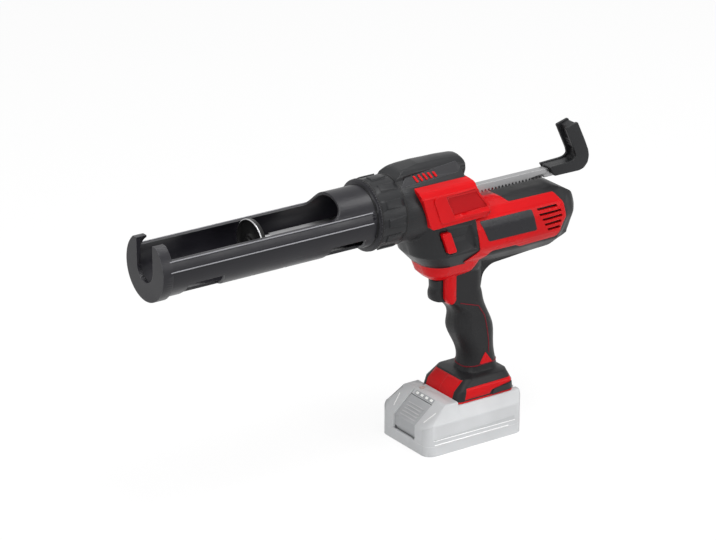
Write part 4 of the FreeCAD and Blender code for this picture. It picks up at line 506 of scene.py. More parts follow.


# Each finish has its colour, then its edge colour, which is partly wear and partly a painted edge highlight
FINISHES: dict[Slot | Trim, Finish] = {
    Slot.RED: Finish("satin_red", (0.58, 0.003, 0.006), (0.72, 0.06, 0.05), 0.33, shine=0.14),
    Slot.DARK: Finish("grained_dark", (0.017, 0.0175, 0.019), (0.07, 0.07, 0.07), 0.38, shine=0.22),
    Slot.RUBBER: Finish(
        "soft_black", (0.013, 0.013, 0.014), (0.04, 0.04, 0.04), 0.46, 0.0, Texture.DOTS, 620.0, 0.00012, 0.22
    ),
    Slot.HOLDER: Finish("holder_dark", (0.011, 0.0105, 0.014), (0.16, 0.16, 0.17), 0.34),
    Slot.ROD: Finish(
        "bright_steel", (0.36, 0.36, 0.365), (0.55, 0.55, 0.55), 0.34, 1.0, Texture.BRUSHED, 3000.0, 0.000004
    ),
    Slot.GEAR: Finish("gear_steel", (0.4, 0.4, 0.41), (0.55, 0.55, 0.55), 0.32, 1.0, Texture.BRUSHED),
    Slot.PLATE: Finish("plate_steel", (0.52, 0.52, 0.53), (0.65, 0.65, 0.65), 0.32, 1.0, Texture.BRUSHED),
    Slot.BRONZE: Finish("bush_bronze", (0.5, 0.33, 0.15), (0.6, 0.42, 0.2), 0.36, 1.0),
    Slot.ALLOY: Finish("cast_alloy", (0.55, 0.55, 0.57), (0.66, 0.66, 0.66), 0.46, 1.0),
    Slot.MOTOR: Finish("motor_steel", (0.48, 0.48, 0.48), (0.6, 0.6, 0.6), 0.36, 1.0, Texture.BRUSHED),
    Slot.MAGNET: Finish("magnet_grey", (0.09, 0.09, 0.1), (0.14, 0.14, 0.14), 0.6),
    Slot.IRON: Finish("core_iron", (0.2, 0.2, 0.21), (0.3, 0.3, 0.3), 0.5, 1.0),
    Slot.COPPER: Finish("bare_copper", (0.7, 0.34, 0.2), (0.8, 0.5, 0.35), 0.3, 1.0),
    Slot.INNER: Finish("inner_black", (0.008, 0.008, 0.008), (0.02, 0.02, 0.02), 0.5),
    Slot.PALE: Finish("pale_grey", (0.57, 0.58, 0.59), (0.8, 0.8, 0.8), 0.4),
    Slot.LATCH: Finish("latch_grey", (0.42, 0.43, 0.44), (0.6, 0.6, 0.6), 0.45),
    Slot.GAUGE: Finish("gauge_button", (0.55, 0.42, 0.38), (0.6, 0.5, 0.46), 0.36),
    Slot.CELL: Finish("cell_wrap", (0.12, 0.25, 0.38), (0.2, 0.35, 0.45), 0.4),
    Slot.SCREW: Finish("black_steel", (0.1, 0.1, 0.1), (0.3, 0.3, 0.3), 0.38, 1.0),
    # Pale rail beads on the dark holder: a painted highlight along the rail edges
    Trim.RAIL: ThinFinish("rail_edge", (0.26, 0.26, 0.28), (0.3, 0.3, 0.32), 0.35),
    Trim.WHITE: ThinFinish("white_line", (0.92, 0.92, 0.92), (0.95, 0.95, 0.95), 0.4),
    Trim.FILM: ThinFinish("label_film", (0.010, 0.010, 0.013), (0.05, 0.05, 0.06), 0.26),
    Trim.LIGHT: ThinFinish("light_lens", (0.95, 0.95, 0.93), (0.95, 0.95, 0.95), 0.25),
    Trim.POCKET: ThinFinish("pocket_grey", (0.36, 0.37, 0.38), (0.3, 0.3, 0.3), 0.45),
    Trim.RIB: ThinFinish("rib_grey", (0.52, 0.52, 0.53), (0.56, 0.56, 0.56), 0.4),
    Trim.MARK: ThinFinish("mark_red", (0.56, 0.004, 0.008), (0.6, 0.03, 0.03), 0.33, shine=0.14),
    Trim.DIM: ThinFinish("dim_red", (0.17, 0.008, 0.016), (0.2, 0.02, 0.03), 0.4, shine=0.14),
    # A darker red for the floor of the box recess: painted shade
    Trim.SHADED_RED: ThinFinish("deep_red", (0.45, 0.002, 0.005), (0.5, 0.02, 0.02), 0.36, shine=0.14),
    Trim.THIN: ThinFinish("thin_dark", (0.016, 0.0165, 0.018), (0.03, 0.03, 0.03), 0.4),
    Trim.GRIP: ThinFinish("handle_rib", (0.06, 0.06, 0.065), (0.1, 0.1, 0.1), 0.35),
    Trim.PANEL: ThinFinish("panel_grey", (0.5, 0.51, 0.52), (0.6, 0.6, 0.6), 0.42),
    Trim.PLUNGER: Finish("plunger_black", (0.008, 0.008, 0.008), (0.02, 0.02, 0.02), 0.45),
    Trim.CHEEK: Finish("cheek_gloss", (0.02, 0.02, 0.023), (0.14, 0.14, 0.15), 0.22, shine=0.5),
}


def link(name: str, mesh: Mesh) -> Object:
    """Puts a mesh in the scene.

    Args:
        name: the name of the object.
        mesh: its mesh.

    Returns:
        The object.
    """
    obj = bpy.data.objects.new(name, mesh)
    bpy.context.scene.collection.objects.link(obj)
    return obj


def plain(carrier: Object) -> Mesh:
    """Turns an object with modifiers into a plain mesh.

    Args:
        carrier: the object, which is removed.

    Returns:
        The mesh that its modifiers make.
    """
    graph = bpy.context.evaluated_depsgraph_get()
    mesh = bpy.data.meshes.new_from_object(carrier.evaluated_get(graph))
    bpy.data.objects.remove(carrier)
    return mesh


def welded(node: str) -> BMesh:
    """Copies a CAD node for work, with its seams closed.

    Args:
        node: the name of the node.

    Returns:
        The working mesh.
    """
    bm = bmesh.new()
    bm.from_mesh(frame["nodes"][node].data)
    bmesh.ops.remove_doubles(bm, verts=bm.verts, dist=WELD)
    return bm


def finished(bm: BMesh, name: str, crease: float) -> Mesh:
    """Ends the work on a mesh, and shades it smooth between its sharp edges.

    Args:
        bm: the working mesh, which is freed.
        name: the name of the mesh.
        crease: the least angle of a sharp edge, in degrees.

    Returns:
        The mesh.
    """
    mesh = bpy.data.meshes.new(name)
    bm.to_mesh(mesh)
    bm.free()
    mesh.polygons.foreach_set("use_smooth", [True] * len(mesh.polygons))
    mesh.set_sharp_from_angle(angle=math.radians(crease))
    return mesh


def cut(bm: BMesh, faces: list[BMFace], place: float, normal: Vector) -> None:
    """Cuts faces along a plane, and keeps both sides.

    Args:
        bm: the working mesh.
        faces: the faces that may be cut.
        place: how far out the plane lies, in mm.
        normal: its normal.
    """
    parts = dict.fromkeys(part for face in faces for part in (*face.verts, *face.edges, face))
    far = normal * place * MM
    bmesh.ops.bisect_plane(bm, geom=list(parts), plane_co=far, plane_no=normal, dist=ON_PLANE)


def pull(bm: BMesh, faces: list[BMFace], move: Vector) -> None:
    """Makes faces a closed block.

    Args:
        bm: the working mesh.
        faces: one end of the block.
        move: from that end to the other one, in metres.
    """
    made = bmesh.ops.extrude_face_region(bm, geom=faces, use_keep_orig=True)
    for vert in (v for v in made["geom"] if isinstance(v, BMVert)):
        vert.co += move
    bmesh.ops.recalc_face_normals(bm, faces=bm.faces)


def rounded(outline: Route, radius: float, steps: int = 5) -> list[Pair]:
    """Rounds the corners of a closed outline.

    Args:
        outline: its corners.
        radius: how far from a corner the rounding starts.
        steps: the points of each rounding, less one.

    Returns:
        The new points.
    """
    points = []
    for index, corner in enumerate(outline):
        here = Vector(corner)
        ends = [Vector(outline[index - 1]), Vector(outline[(index + 1) % len(outline)])]
        start, stop = (here + (e - here).normalized() * min(radius, (e - here).length / 2) for e in ends)
        for step in range(steps + 1):
            t = step / steps
            point = start * (1 - t) ** 2 + here * 2 * t * (1 - t) + stop * t**2
            points.append((point.x, point.y))
    return points


def between(table: Route, value: float) -> float:
    """Reads a table, with straight lines between its rows.

    Args:
        table: pairs of a value and what belongs to it, with rising values.
        value: the value to look up.

    Returns:
        What belongs to the value.
    """
    for (v0, w0), (v1, w1) in zip(table, table[1:]):
        if value <= v1:
            return w0 + (w1 - w0) * max(0.0, (value - v0) / (v1 - v0))
    return table[-1][1]


def circle(centre: Vector, radius: float, count: int = 64) -> list[Vector]:
    """Lays a closed circle round a line along the tool.

    Args:
        centre: its middle, in metres.
        radius: its radius, in metres.
        count: the number of its points.

    Returns:
        The points, with the first one again at the end.
    """
    turns = [math.tau * index / count for index in range(count + 1)]
    return [centre + Vector((0, math.cos(t), math.sin(t))) * radius for t in turns]


class Palette:
    """The materials of the slots, made once."""

    def __init__(self) -> None:
        """Builds every material and gives it to the CAD nodes of its slot."""
        effects = Effects()
        self.made = {key: finish.material(effects) for key, finish in FINISHES.items()}
        self.slot_of = {p["node"]: Slot(p["material_slot"]) for p in frame["record"]["subparts"]}
        for node, slot in self.slot_of.items():
            self.paint(frame["nodes"][node], slot)

    def paint(self, obj: Object, key: Slot | Trim) -> None:
        """Gives an object one material.

        Args:
            obj: the object.
            key: the finish that it gets.
        """
        obj.data.materials.clear()
        obj.data.materials.append(self.made[key])
        for face in obj.data.polygons:
            face.material_index = 0

    def fix(self, name: str, mesh: Mesh, dress: Dress) -> Object:
        """Makes a piece: paints it and lets it ride on a body.

        Args:
            name: the name of the piece.
            mesh: its mesh.
            dress: what it belongs to.

        Returns:
            The piece.
        """
        obj = link(name, mesh)
        self.paint(obj, dress.finish)
        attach(obj, dress.body)
        log.info("piece %s on %s: %d faces", name, dress.body, len(mesh.polygons))
        return obj


class Skin:
    """The outer surface of some CAD nodes, for trim to sit on."""

    def __init__(self, *nodes: str) -> None:
        """Gathers the surface.

        Args:
            nodes: the names of the CAD nodes.
        """
        points, faces = [], []
        for node in nodes:
            mesh = frame["nodes"][node].data
            first = len(points)
            points.extend(v.co.copy() for v in mesh.vertices)
            faces.extend([first + i for i in f.vertices] for f in mesh.polygons)
        self.tree = BVHTree.FromPolygons(points, faces)

    def beside(self, x: float, z: float, side: Side) -> Vector:
        """Finds the surface from one side.

        Args:
            x: the place along the tool, in mm.
            z: the height, in mm.
            side: the side that is looked at.

        Returns:
            The point, in metres.
        """
        start = Vector((x * MM, side.value * FAR, z * MM))
        point = self.tree.ray_cast(start, -side.value * ACROSS)[0]
        return self.tree.find_nearest(start)[0] if point is None else point

    def girdle(self, centre: Pair, heights: Pair, count: int = 72) -> list[Vector]:
        """Lays a closed line round an upright part, lower or higher in front.

        Args:
            centre: the middle of the part, in mm.
            heights: the height of the line in front, and elsewhere, in mm.
            count: the number of its points.

        Returns:
            The points, in metres.
        """
        points = []
        for index in range(count + 1):
            angle = math.tau * index / count
            way = Vector((math.cos(angle), math.sin(angle), 0))
            rise = heights[1] + (heights[0] - heights[1]) * max(0.0, way.x) ** 2
            start = Vector((*centre, rise)) * MM + way * FAR
            points.append(self.tree.ray_cast(start, -way)[0])
        return points

    def patch(self, plate: Plate, side: Side, hole: Plate | None = None) -> Mesh:
        """Makes a thin plate that follows the surface.

        Args:
            plate: the plate in side view.
            side: the side that it lies on.
            hole: the plate whose outline is left open in it.

        Returns:
            The mesh.
        """
        bm = bmesh.new()
        edges = []
        for part in (plate, hole) if hole else (plate,):
            verts = [bm.verts.new((x * MM, 0, z * MM)) for x, z in rounded(part.outline, part.corner)]
            edges.extend(bm.edges.new((verts[i - 1], verts[i])) for i in range(len(verts)))
        bmesh.ops.triangle_fill(bm, use_beauty=True, edges=edges)
        for normal in (ALONG, UP):
            reach = [vert.co.dot(normal) / MM / GRID for vert in bm.verts]
            for step in range(math.ceil(min(reach)), math.ceil(max(reach))):
                cut(bm, bm.faces[:], step * GRID, normal)
        for vert in bm.verts:
            point = self.beside(vert.co.x / MM, vert.co.z / MM, side)
            vert.co.y = point.y + side.value * plate.lift * MM
        pull(bm, bm.faces[:], -side.value * (plate.lift + plate.sink) * MM * ACROSS)
        return finished(bm, "patch", TRIM_CREASE)

    def trail(self, route: Route, side: Side, step: float = 1.5) -> list[Vector]:
        """Lays a route on the surface.

        Args:
            route: its corners in side view, in mm.
            side: the side that it lies on.
            step: the length between its points, in mm.

        Returns:
            The points, in metres.
        """
        points = []
        for (x0, z0), (x1, z1) in zip(route, route[1:]):
            count = max(1, round(math.dist((x0, z0), (x1, z1)) / step))
            for index in range(count + 1):
                t = index / count
                points.append(self.beside(x0 + (x1 - x0) * t, z0 + (z1 - z0) * t, side))
        return points


class Makers:
    """The geometry node trees for what repeats or follows a path."""

    CORNER_STEPS = 4
    BEAD_SIDES = 10
    STAR_POINTS = 6
    STAR_WAIST = 0.72

    def __init__(self, palette: Palette) -> None:
        """Builds the trees.

        Args:
            palette: the materials of the pieces.
        """
        self.palette = palette
        self.row_tree = self._row()
        self.bead_tree = self._bead()
        self.star_tree = self._star()

    @staticmethod
    def _tree(name: str, sockets: dict[str, str]) -> tuple:
        """Starts a geometry tree.

        Args:
            name: the name of the tree.
            sockets: the types of its inputs, by name.

        Returns:
            The graph, its inner inputs and its output node.
        """
        tree = bpy.data.node_groups.new(name, "GeometryNodeTree")
        for way in ("OUTPUT", "INPUT"):
            tree.interface.new_socket(name="Geometry", in_out=way, socket_type="NodeSocketGeometry")
        for label, kind in {**sockets, "Material": "NodeSocketMaterial"}.items():
            tree.interface.new_socket(name=label, in_out="INPUT", socket_type=kind)
        graph = Graph(tree)
        return graph, graph.add("NodeGroupInput").outputs, graph.add("NodeGroupOutput")

    @staticmethod
    def _close(graph: Graph, shape: Node, source: object, sink: Node) -> NodeTree:
        """Ends a tree: real geometry with its material.

        Args:
            graph: the tree.
            shape: the node that has made the shape.
            source: the inner inputs of the tree.
            sink: its output node.

        Returns:
            The tree.
        """
        real = graph.add("GeometryNodeRealizeInstances", {0: shape.outputs[0]})
        painted = {"Geometry": real.outputs[0], "Material": source["Material"]}
        graph.feed(sink, {0: graph.add("GeometryNodeSetMaterial", painted).outputs[0]})
        return graph.tree

    @staticmethod
    def _slab(graph: Graph, curve: Node, thick: NodeSocket) -> NodeSocket:
        """Fills a closed curve and makes it a closed slab.

        Args:
            graph: the tree.
            curve: the node of the closed curve.
            thick: the thickness.

        Returns:
            The geometry of the slab.
        """
        flat = graph.add("GeometryNodeFillCurve", {0: curve.outputs[0]}, mode="NGONS").outputs[0]
        whole = {"Mesh": flat, "Offset Scale": thick, "Individual": False}
        both = graph.add("GeometryNodeJoinGeometry")
        graph.feed(both, {0: graph.add("GeometryNodeExtrudeMesh", whole).outputs[0]})
        graph.feed(both, {0: graph.add("GeometryNodeFlipFaces", {0: flat}).outputs[0]})
        merged = {0: both.outputs[0], "Distance": WELD}
        return graph.add("GeometryNodeMergeByDistance", merged).outputs[0]

    def _row(self) -> NodeTree:
        """Makes the tree for a row of rounded plates.

        Returns:
            The tree.
        """
        sockets = {"Count": "NodeSocketInt"}
        sockets |= dict.fromkeys(("Start", "Step", "Turn", "Lean"), VECTOR)
        sockets |= dict.fromkeys(("Width", "Height", "Corner", "Thickness"), FLOAT)
        graph, source, sink = self._tree("plate_row", sockets)
        sides = {"Width": source["Width"], "Height": source["Height"]}
        outline = graph.add("GeometryNodeCurvePrimitiveQuadrilateral", sides)
        bends = {"Curve": outline.outputs[0], "Radius": source["Corner"], "Count": self.CORNER_STEPS}
        corner = graph.add("GeometryNodeFilletCurve", bends, mode="POLY")
        slab = self._slab(graph, corner, source["Thickness"])
        leaning = graph.add("GeometryNodeTransform", {"Geometry": slab, "Rotation": source["Lean"]})
        places = {"Count": source["Count"], "Start Location": source["Start"], "Offset": source["Step"]}
        line = graph.add("GeometryNodeMeshLine", places)
        turn = graph.add("FunctionNodeEulerToRotation", {0: source["Turn"]})
        spread = {"Points": line.outputs[0], "Instance": leaning.outputs[0], "Rotation": turn.outputs[0]}
        return self._close(graph, graph.add("GeometryNodeInstanceOnPoints", spread), source, sink)

    def _bead(self) -> NodeTree:
        """Makes the tree for a round bead along a path.

        Returns:
            The tree.
        """
        graph, source, sink = self._tree("bead_path", {"Radius": FLOAT})
        path = graph.add("GeometryNodeMeshToCurve", {0: source["Geometry"]})
        round_form = {"Resolution": self.BEAD_SIDES, "Radius": source["Radius"]}
        ring = graph.add("GeometryNodeCurvePrimitiveCircle", round_form)
        swept = {"Curve": path.outputs[0], "Profile Curve": ring.outputs[0], "Fill Caps": True}
        return self._close(graph, graph.add("GeometryNodeCurveToMesh", swept), source, sink)

    def _star(self) -> NodeTree:
        """Makes the tree for a star recess on each point of a mesh.

        Returns:
            The tree.
        """
        sockets = {"Radius": FLOAT, "Depth": FLOAT, "Turn": VECTOR}
        graph, source, sink = self._tree("star_recess", sockets)
        waist = graph.calc("MULTIPLY", source["Radius"], self.STAR_WAIST)
        reach = {"Points": self.STAR_POINTS, "Inner Radius": waist, "Outer Radius": source["Radius"]}
        slab = self._slab(graph, graph.add("GeometryNodeCurveStar", reach), source["Depth"])
        turn = graph.add("FunctionNodeEulerToRotation", {0: source["Turn"]})
        spread = {"Points": source["Geometry"], "Instance": slab, "Rotation": turn.outputs[0]}
        return self._close(graph, graph.add("GeometryNodeInstanceOnPoints", spread), source, sink)

    def _run(self, name: str, dress: Dress, tree: NodeTree, base: Mesh, values: dict) -> Object:
        """Runs a tree and keeps what it makes as a plain mesh.

        Args:
            name: the name of the piece.
            dress: what it belongs to.
            tree: the tree.
            base: the mesh that it starts from.
            values: the inputs of the tree, by name.

        Returns:
            The piece.
        """
        carrier = link(name + "_carrier", base)
        modifier = carrier.modifiers.new("maker", "NODES")
        modifier.node_group = tree
        values = {**values, "Material": self.palette.made[dress.finish]}
        for item in tree.interface.items_tree:
            if item.in_out == "INPUT" and item.name in values:
                modifier[item.identifier] = values[item.name]
        bm = bmesh.new()
        bm.from_mesh(plain(carrier))
        bmesh.ops.recalc_face_normals(bm, faces=bm.faces)
        return self.palette.fix(name, finished(bm, name, TRIM_CREASE), dress)

    def row(self, name: str, dress: Dress, row: Row) -> Object:
        """Makes a row of rounded plates.

        Args:
            name: the name of the piece.
            dress: what it belongs to.
            row: the places and sizes of the plates.

        Returns:
            The piece.
        """
        values = dict(zip(("Width", "Height", "Thickness"), (size * MM for size in row.plate)))
        values |= {
            "Count": row.count,
            "Start": [v * MM for v in row.start],
            "Step": [v * MM for v in row.step],
            "Turn": [math.radians(v) for v in row.turn],
            "Lean": [0.0, 0.0, math.radians(row.lean)],
            "Corner": row.corner * MM,
        }
        return self._run(name, dress, self.row_tree, bpy.data.meshes.new(name), values)

    def bead(self, name: str, dress: Dress, points: list[Vector], radius: float) -> Object:
        """Makes a round bead along a path.

        Args:
            name: the name of the piece.
            dress: what it belongs to.
            points: the points of the path, in metres.
            radius: the radius of the bead, in mm.

        Returns:
            The piece.
        """
        path = bpy.data.meshes.new(name)
        kept = [p for i, p in enumerate(points) if i == 0 or (p - points[i - 1]).length > NEAR]
        path.from_pydata(kept, [(i, i + 1) for i in range(len(kept) - 1)], [])
        return self._run(name, dress, self.bead_tree, path, {"Radius": radius * MM})

    def stars(
        self, name: str, dress: Dress, points: list[Vector], radius: float, depth: float, turn: Triple
    ) -> Object:
        """Makes a star recess at each point.

        Args:
            name: the name of the piece.
            dress: what it belongs to.
            points: the places, in metres.
            radius: the radius of a star, in mm.
            depth: the thickness of a star, in mm.
            turn: its turn from lying flat, in degrees.

        Returns:
            The piece.
        """
        places = bpy.data.meshes.new(name)
        places.from_pydata(points, [], [])
        turned = [math.radians(v) for v in turn]
        values = {"Radius": radius * MM, "Depth": depth * MM, "Turn": turned}
        return self._run(name, dress, self.star_tree, places, values)


@dataclass
class Assembly:
    """A part of the tool: its CAD nodes with softened edges, and its trim."""

    palette: Palette
    makers: Makers
    crease: float = 28.0

    def soften(
        self, node: str, trim: Trim | None = None, reshape: Callable[[BMesh], None] | None = None
    ) -> None:
        """Shows a node as a copy that is shaded smooth.

        Args:
            node: the CAD node.
            trim: its finish, if that isn't the finish of its slot.
            reshape: changes the copy before it is shaded.
        """
        name, bm = node + "_soft", welded(node)
        if reshape:
            reshape(bm)
        draft = link(name + "_draft", finished(bm, name, self.crease))
        draft.modifiers.new("weighing", "WEIGHTED_NORMAL").keep_sharp = True
        dress = Dress(self.palette.slot_of[node], frame["nodes"][node]["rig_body"], trim)
        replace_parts(self.palette.fix(name, plain(draft), dress), node)

    def slab(self, name: str, dress: Dress, outline: Sequence[Pair], across: Pair, edge: float) -> Object:
        """Makes a block from a side outline, with rounded edges.

        Args:
            name: the name of the piece.
            dress: what it belongs to.
            outline: its outline in side view, in mm.
            across: its two ends across the tool, in mm.
            edge: the width of the rounding, in mm.

        Returns:
            The piece.
        """
        bm = bmesh.new()
        face = bm.faces.new([bm.verts.new((x * MM, across[0] * MM, z * MM)) for x, z in outline])
        pull(bm, [face], ACROSS * (across[1] - across[0]) * MM)
        rims = [e for e in bm.edges if abs(e.verts[0].co.y - e.verts[1].co.y) < WELD]
        bmesh.ops.bevel(
            bm, geom=rims, offset=edge * MM, segments=3, profile=0.6, affect="EDGES", clamp_overlap=True
        )
        return self.palette.fix(name, finished(bm, name, self.crease), dress)

    def build(self) -> None:
        """Makes the pieces of the part."""
        raise NotImplementedError


@dataclass
class Shell(Assembly):
    """The two mouldings of the housing with their soft cover and trim."""

    nodes: tuple[str, ...] = ("housing_left", "housing_right", "overmould_left", "overmould_right")
    label: Plate = Plate(((-5.8, 220.7), (-65.5, 220.3), (-71.0, 199.2), (-15.4, 199.8)), 2.0, 0.35)
    pinstripe: Route = ((4.0, 137.0), (-17.0, 130.0), (-24.0, 119.0), (-29.0, 92.0), (-30.0, 79.5))
    pinstripe_radius: float = 0.5
    collar_centre: Pair = (-26.0, 0.0)
    collar_heights: Pair = (66.6, 69.2)
    collar_radius: float = 0.6
    base_mark: Plate = Plate(((-19.4, 69.8), (-26.0, 81.0), (-34.6, 68.9)), 1.2, 0.3)
    foot_pad: Plate = Plate(((-26.9, 47.7), (-50.1, 49.8), (-50.9, 44.4), (-24.0, 42.4)), 1.5, 0.6)
    box_frame: Plate = Plate(
        ((41.0, 230.0), (50.0, 254.4), (47.5, 257.0), (3.0, 258.4), (-15.5, 231.2)), 3.0, 1.0
    )
    # The floor of the box recess: its darker red patch is painted shade, and its outline is also the hole in
    # the frame
    shaded_box_floor: Plate = Plate(((37.0, 255.6), (4.0, 256.9), (-12.0, 236.0), (26.8, 234.4)), 2.0, 0.15)
    # A black sheet behind the vent slots, which shows through them as painted shade
    vent_shade_sheet: Row = Row((-86.0, 28.6, 209.0), (34.0, 27.0, 0.5), (90.0, 0.0, 0.0))
    star_radius: float = 1.5
    star_depth: float = 0.12
    star_turn: Triple = (90.0, 0.0, 0.0)
    tail_span: Pair = (-97.0, -114.0)
    tail_cuts: tuple[float, ...] = (-99.0, -102.0, -105.0, -108.0, -111.0, -114.0, -118.0, -122.0)
    tail_taper: Route = (
        (170.0, 0.64), (177.0, 0.64), (185.0, 0.66), (193.0, 0.78), (200.0, 0.92), (205.0, 1.0), (210.0, 1.0),
        (215.0, 0.94), (220.0, 0.87), (228.0, 0.76),
    )

    def build(self) -> None:
        """Makes the shell and its trim."""
        for node in self.nodes:
            self.soften(node, reshape=self._taper)
        skin = Skin(*self.nodes)
        film = Dress(Slot.INNER, "tool", Trim.FILM)
        self.palette.fix("label_plate", skin.patch(self.label, Side.LEFT), film)
        ring = skin.girdle(self.collar_centre, self.collar_heights)
        line = Dress(Slot.RED, "tool", Trim.DIM)
        self.makers.bead("grip_collar", line, ring, self.collar_radius)
        plates = (
            ("base_mark", self.base_mark, None, Dress(Slot.RED, "tool", Trim.MARK)),
            ("foot_pad", self.foot_pad, None, Dress(Slot.RUBBER, "tool", Trim.THIN)),
            ("box_frame", self.box_frame, self.shaded_box_floor, Dress(Slot.RED, "tool")),
            # The darker red floor patch is painted shade in the recess
            ("shaded_box_floor", self.shaded_box_floor, None, Dress(Slot.RED, "tool", Trim.SHADED_RED)),
        )
        for side in Side:
            trail = skin.trail(self.pinstripe, side)
            self.makers.bead("pinstripe_" + side.word, line, trail, self.pinstripe_radius)
            for name, plate, hole, dress in plates:
                self.palette.fix(f"{name}_{side.word}", skin.patch(plate, side, hole), dress)
            # The black sheet inside the vents is painted shade
            shade_sheet = self.vent_shade_sheet.on(side)
            self.makers.row("vent_shade_sheet_" + side.word, Dress(Slot.INNER, "tool"), shade_sheet)
        self._screws()

    def _taper(self, bm: BMesh) -> None:
        """Rounds off the rear end of the tail.

        Args:
            bm: a moulding of the shell.
        """
        start, stop = self.tail_span
        cuts = [(x, ALONG) for x in self.tail_cuts] + [(z, UP) for z, _ in self.tail_taper]
        for place, normal in cuts:
            tail = [f for f in bm.faces if min(v.co.x for v in f.verts) < start * MM]
            cut(bm, tail, place, normal)
        for vert in bm.verts:
            t = min(1.0, max(0.0, (vert.co.x / MM - start) / (stop - start)))
            share = t * t * (3 - 2 * t)
            vert.co.y *= 1 - share * (1 - between(self.tail_taper, vert.co.z / MM))

    def _screws(self) -> None:
        """Marks the drive recess of each case screw with a thin black star, as painted shade."""
        bm = welded("case_screws")
        left, heads = set(bm.verts), []
        while left:
            island, stack = [], [next(iter(left))]
            while stack:
                vert = stack.pop()
                if vert in left:
                    left.discard(vert)
                    island.append(vert.co.copy())
                    stack.extend(e.other_vert(vert) for e in vert.link_edges)
            low = min(v.y for v in island)
            rim = [v for v in island if v.y < low + NEAR]
            heads.append(sum(rim, Vector()) / len(rim))
        bm.free()
        # The black stars are painted shade in the drive recesses
        black = Dress(Slot.INNER, "tool")
        self.makers.stars("screw_star_shade", black, heads, self.star_radius, self.star_depth, self.star_turn)


@dataclass
class FrontEnd(Assembly):
    """The nose with its dome, the locking ring and the cartridge holder."""

    cheek: tuple[Triple, ...] = (
        (74.9, 20.4, 267.0), (66.0, 13.4, 272.8), (9.0, 12.2, 277.6), (4.4, 14.6, 271.8), (9.5, 18.0, 268.8),
    )
    cheek_depth: Triple = (0.0, -6.0, -5.0)
    dome_old: Route = (
        (269.9, -1.47), (274.1, -1.0), (276.3, 0.0), (277.5, 1.0), (278.5, 2.0), (279.7, 4.0), (280.3, 6.0),
        (282.1, 20.0),
    )
    dome_new: Route = (
        (269.9, -1.47), (274.1, -1.46), (276.3, -1.4), (277.5, -1.3), (278.5, -1.1), (279.7, -0.5),
        (280.3, 0.3), (281.0, 3.0), (282.1, 20.0),
    )
    crown: Route = ((0.0, 0.0), (3.5, 0.15), (7.0, 0.95), (9.0, 1.7), (11.0, 2.1), (13.0, 1.7), (14.6, 0.6))
    crown_cuts: tuple[float, ...] = (-7.0, -5.2, -3.5, 0.0, 3.5, 5.2, 7.0)
    crown_fade: Route = ((25.0, 1.0), (60.0, 0.0))
    crown_rise: float = 7.0
    dome_reach: float = 0.3
    dome_half: float = 14.6
    slits: Row = Row(
        (56.0, 16.1, 270.2), (2.3, 7.4, 0.9), (-39.0, 0.0, 0.0), (-5.3, -0.2, 0.25), 5, 0.8, 12.0
    )
    axis_z: float = 241.0
    rail_radius: float = 30.7
    rail_rises: Pair = (3.2, 12.4)
    rail_ends: Pair = (111.5, 325.0)
    rail_bead: float = 0.55
    # Black rings round the axis: dark joints at the sleeve and the flange, and a painted shadow in the gap
    # between the locking ring and the nose
    seams: tuple[tuple[str, str, Triple], ...] = (
        ("sleeve_seam", "holder", (106.3, 29.2, 0.5)),
        ("flange_seam", "holder", (103.1, 33.1, 0.8)),
        # A black ring in the gap between the locking ring and the nose: painted shadow
        ("nose_shadow_gap", "tool", (75.9, 32.6, 0.8)),
    )

    def build(self) -> None:
        """Makes the front end."""
        self.soften("front_housing", reshape=self._square_dome)
        for node in ("locking_ring", "cartridge_holder"):
            self.soften(node)
        for name, body, (x, radius, bead) in self.seams:
            ring = circle(Vector((x, 0, self.axis_z)) * MM, radius * MM)
            self.makers.bead(name, Dress(Slot.INNER, body), ring, bead)
        red, rail = Dress(Slot.RED, "tool", Trim.MARK), Dress(Slot.HOLDER, "holder", Trim.RAIL)
        for side in Side:
            self._cheek(side)
            self.makers.row("dome_slits_" + side.word, red, self.slits.on(side))
            # Pale beads along both edges of each rail, as a painted highlight
            for index, rise in enumerate(self.rail_rises, start=1):
                across = math.sqrt(self.rail_radius**2 - rise**2)
                ends = [side.point((x, across, self.axis_z + rise)) for x in self.rail_ends]
                self.makers.bead(f"rail_bead_{side.word}_{index}", rail, ends, self.rail_bead)

    def _square_dome(self, bm: BMesh) -> None:
        """Brings the top of the dome further back, to a tighter rounding, and crowns it.

        Args:
            bm: the moulding of the nose.
        """
        foot = self.dome_old[0][0]
        for vert in bm.verts:
            x, z = vert.co.x / MM, vert.co.z / MM
            on_end = abs(x - between(self.dome_old, z)) < self.dome_reach
            if foot < z and on_end and abs(vert.co.y) < self.dome_half * MM:
                vert.co.x = between(self.dome_new, z) * MM
        for place in self.crown_cuts:
            top = [f for f in bm.faces if min(v.co.z for v in f.verts) > foot * MM]
            cut(bm, top, place, ACROSS)
        for vert in bm.verts:
            x, y, z = vert.co / MM
            if z > foot:
                share = between(self.crown_fade, x) * min(1.0, (z - foot) / self.crown_rise)
                vert.co.z -= share * between(self.crown, abs(y)) * MM

    def _cheek(self, side: Side) -> None:
        """Makes the slanted panel on one side of the dome.

        Args:
            side: the side.
        """
        bm = bmesh.new()
        face = bm.faces.new([bm.verts.new(side.point(place)) for place in self.cheek])
        pull(bm, [face], side.point(self.cheek_depth))
        name = "dome_cheek_" + side.word
        self.palette.fix(name, finished(bm, name, self.crease), Dress(Slot.DARK, "tool", Trim.CHEEK))


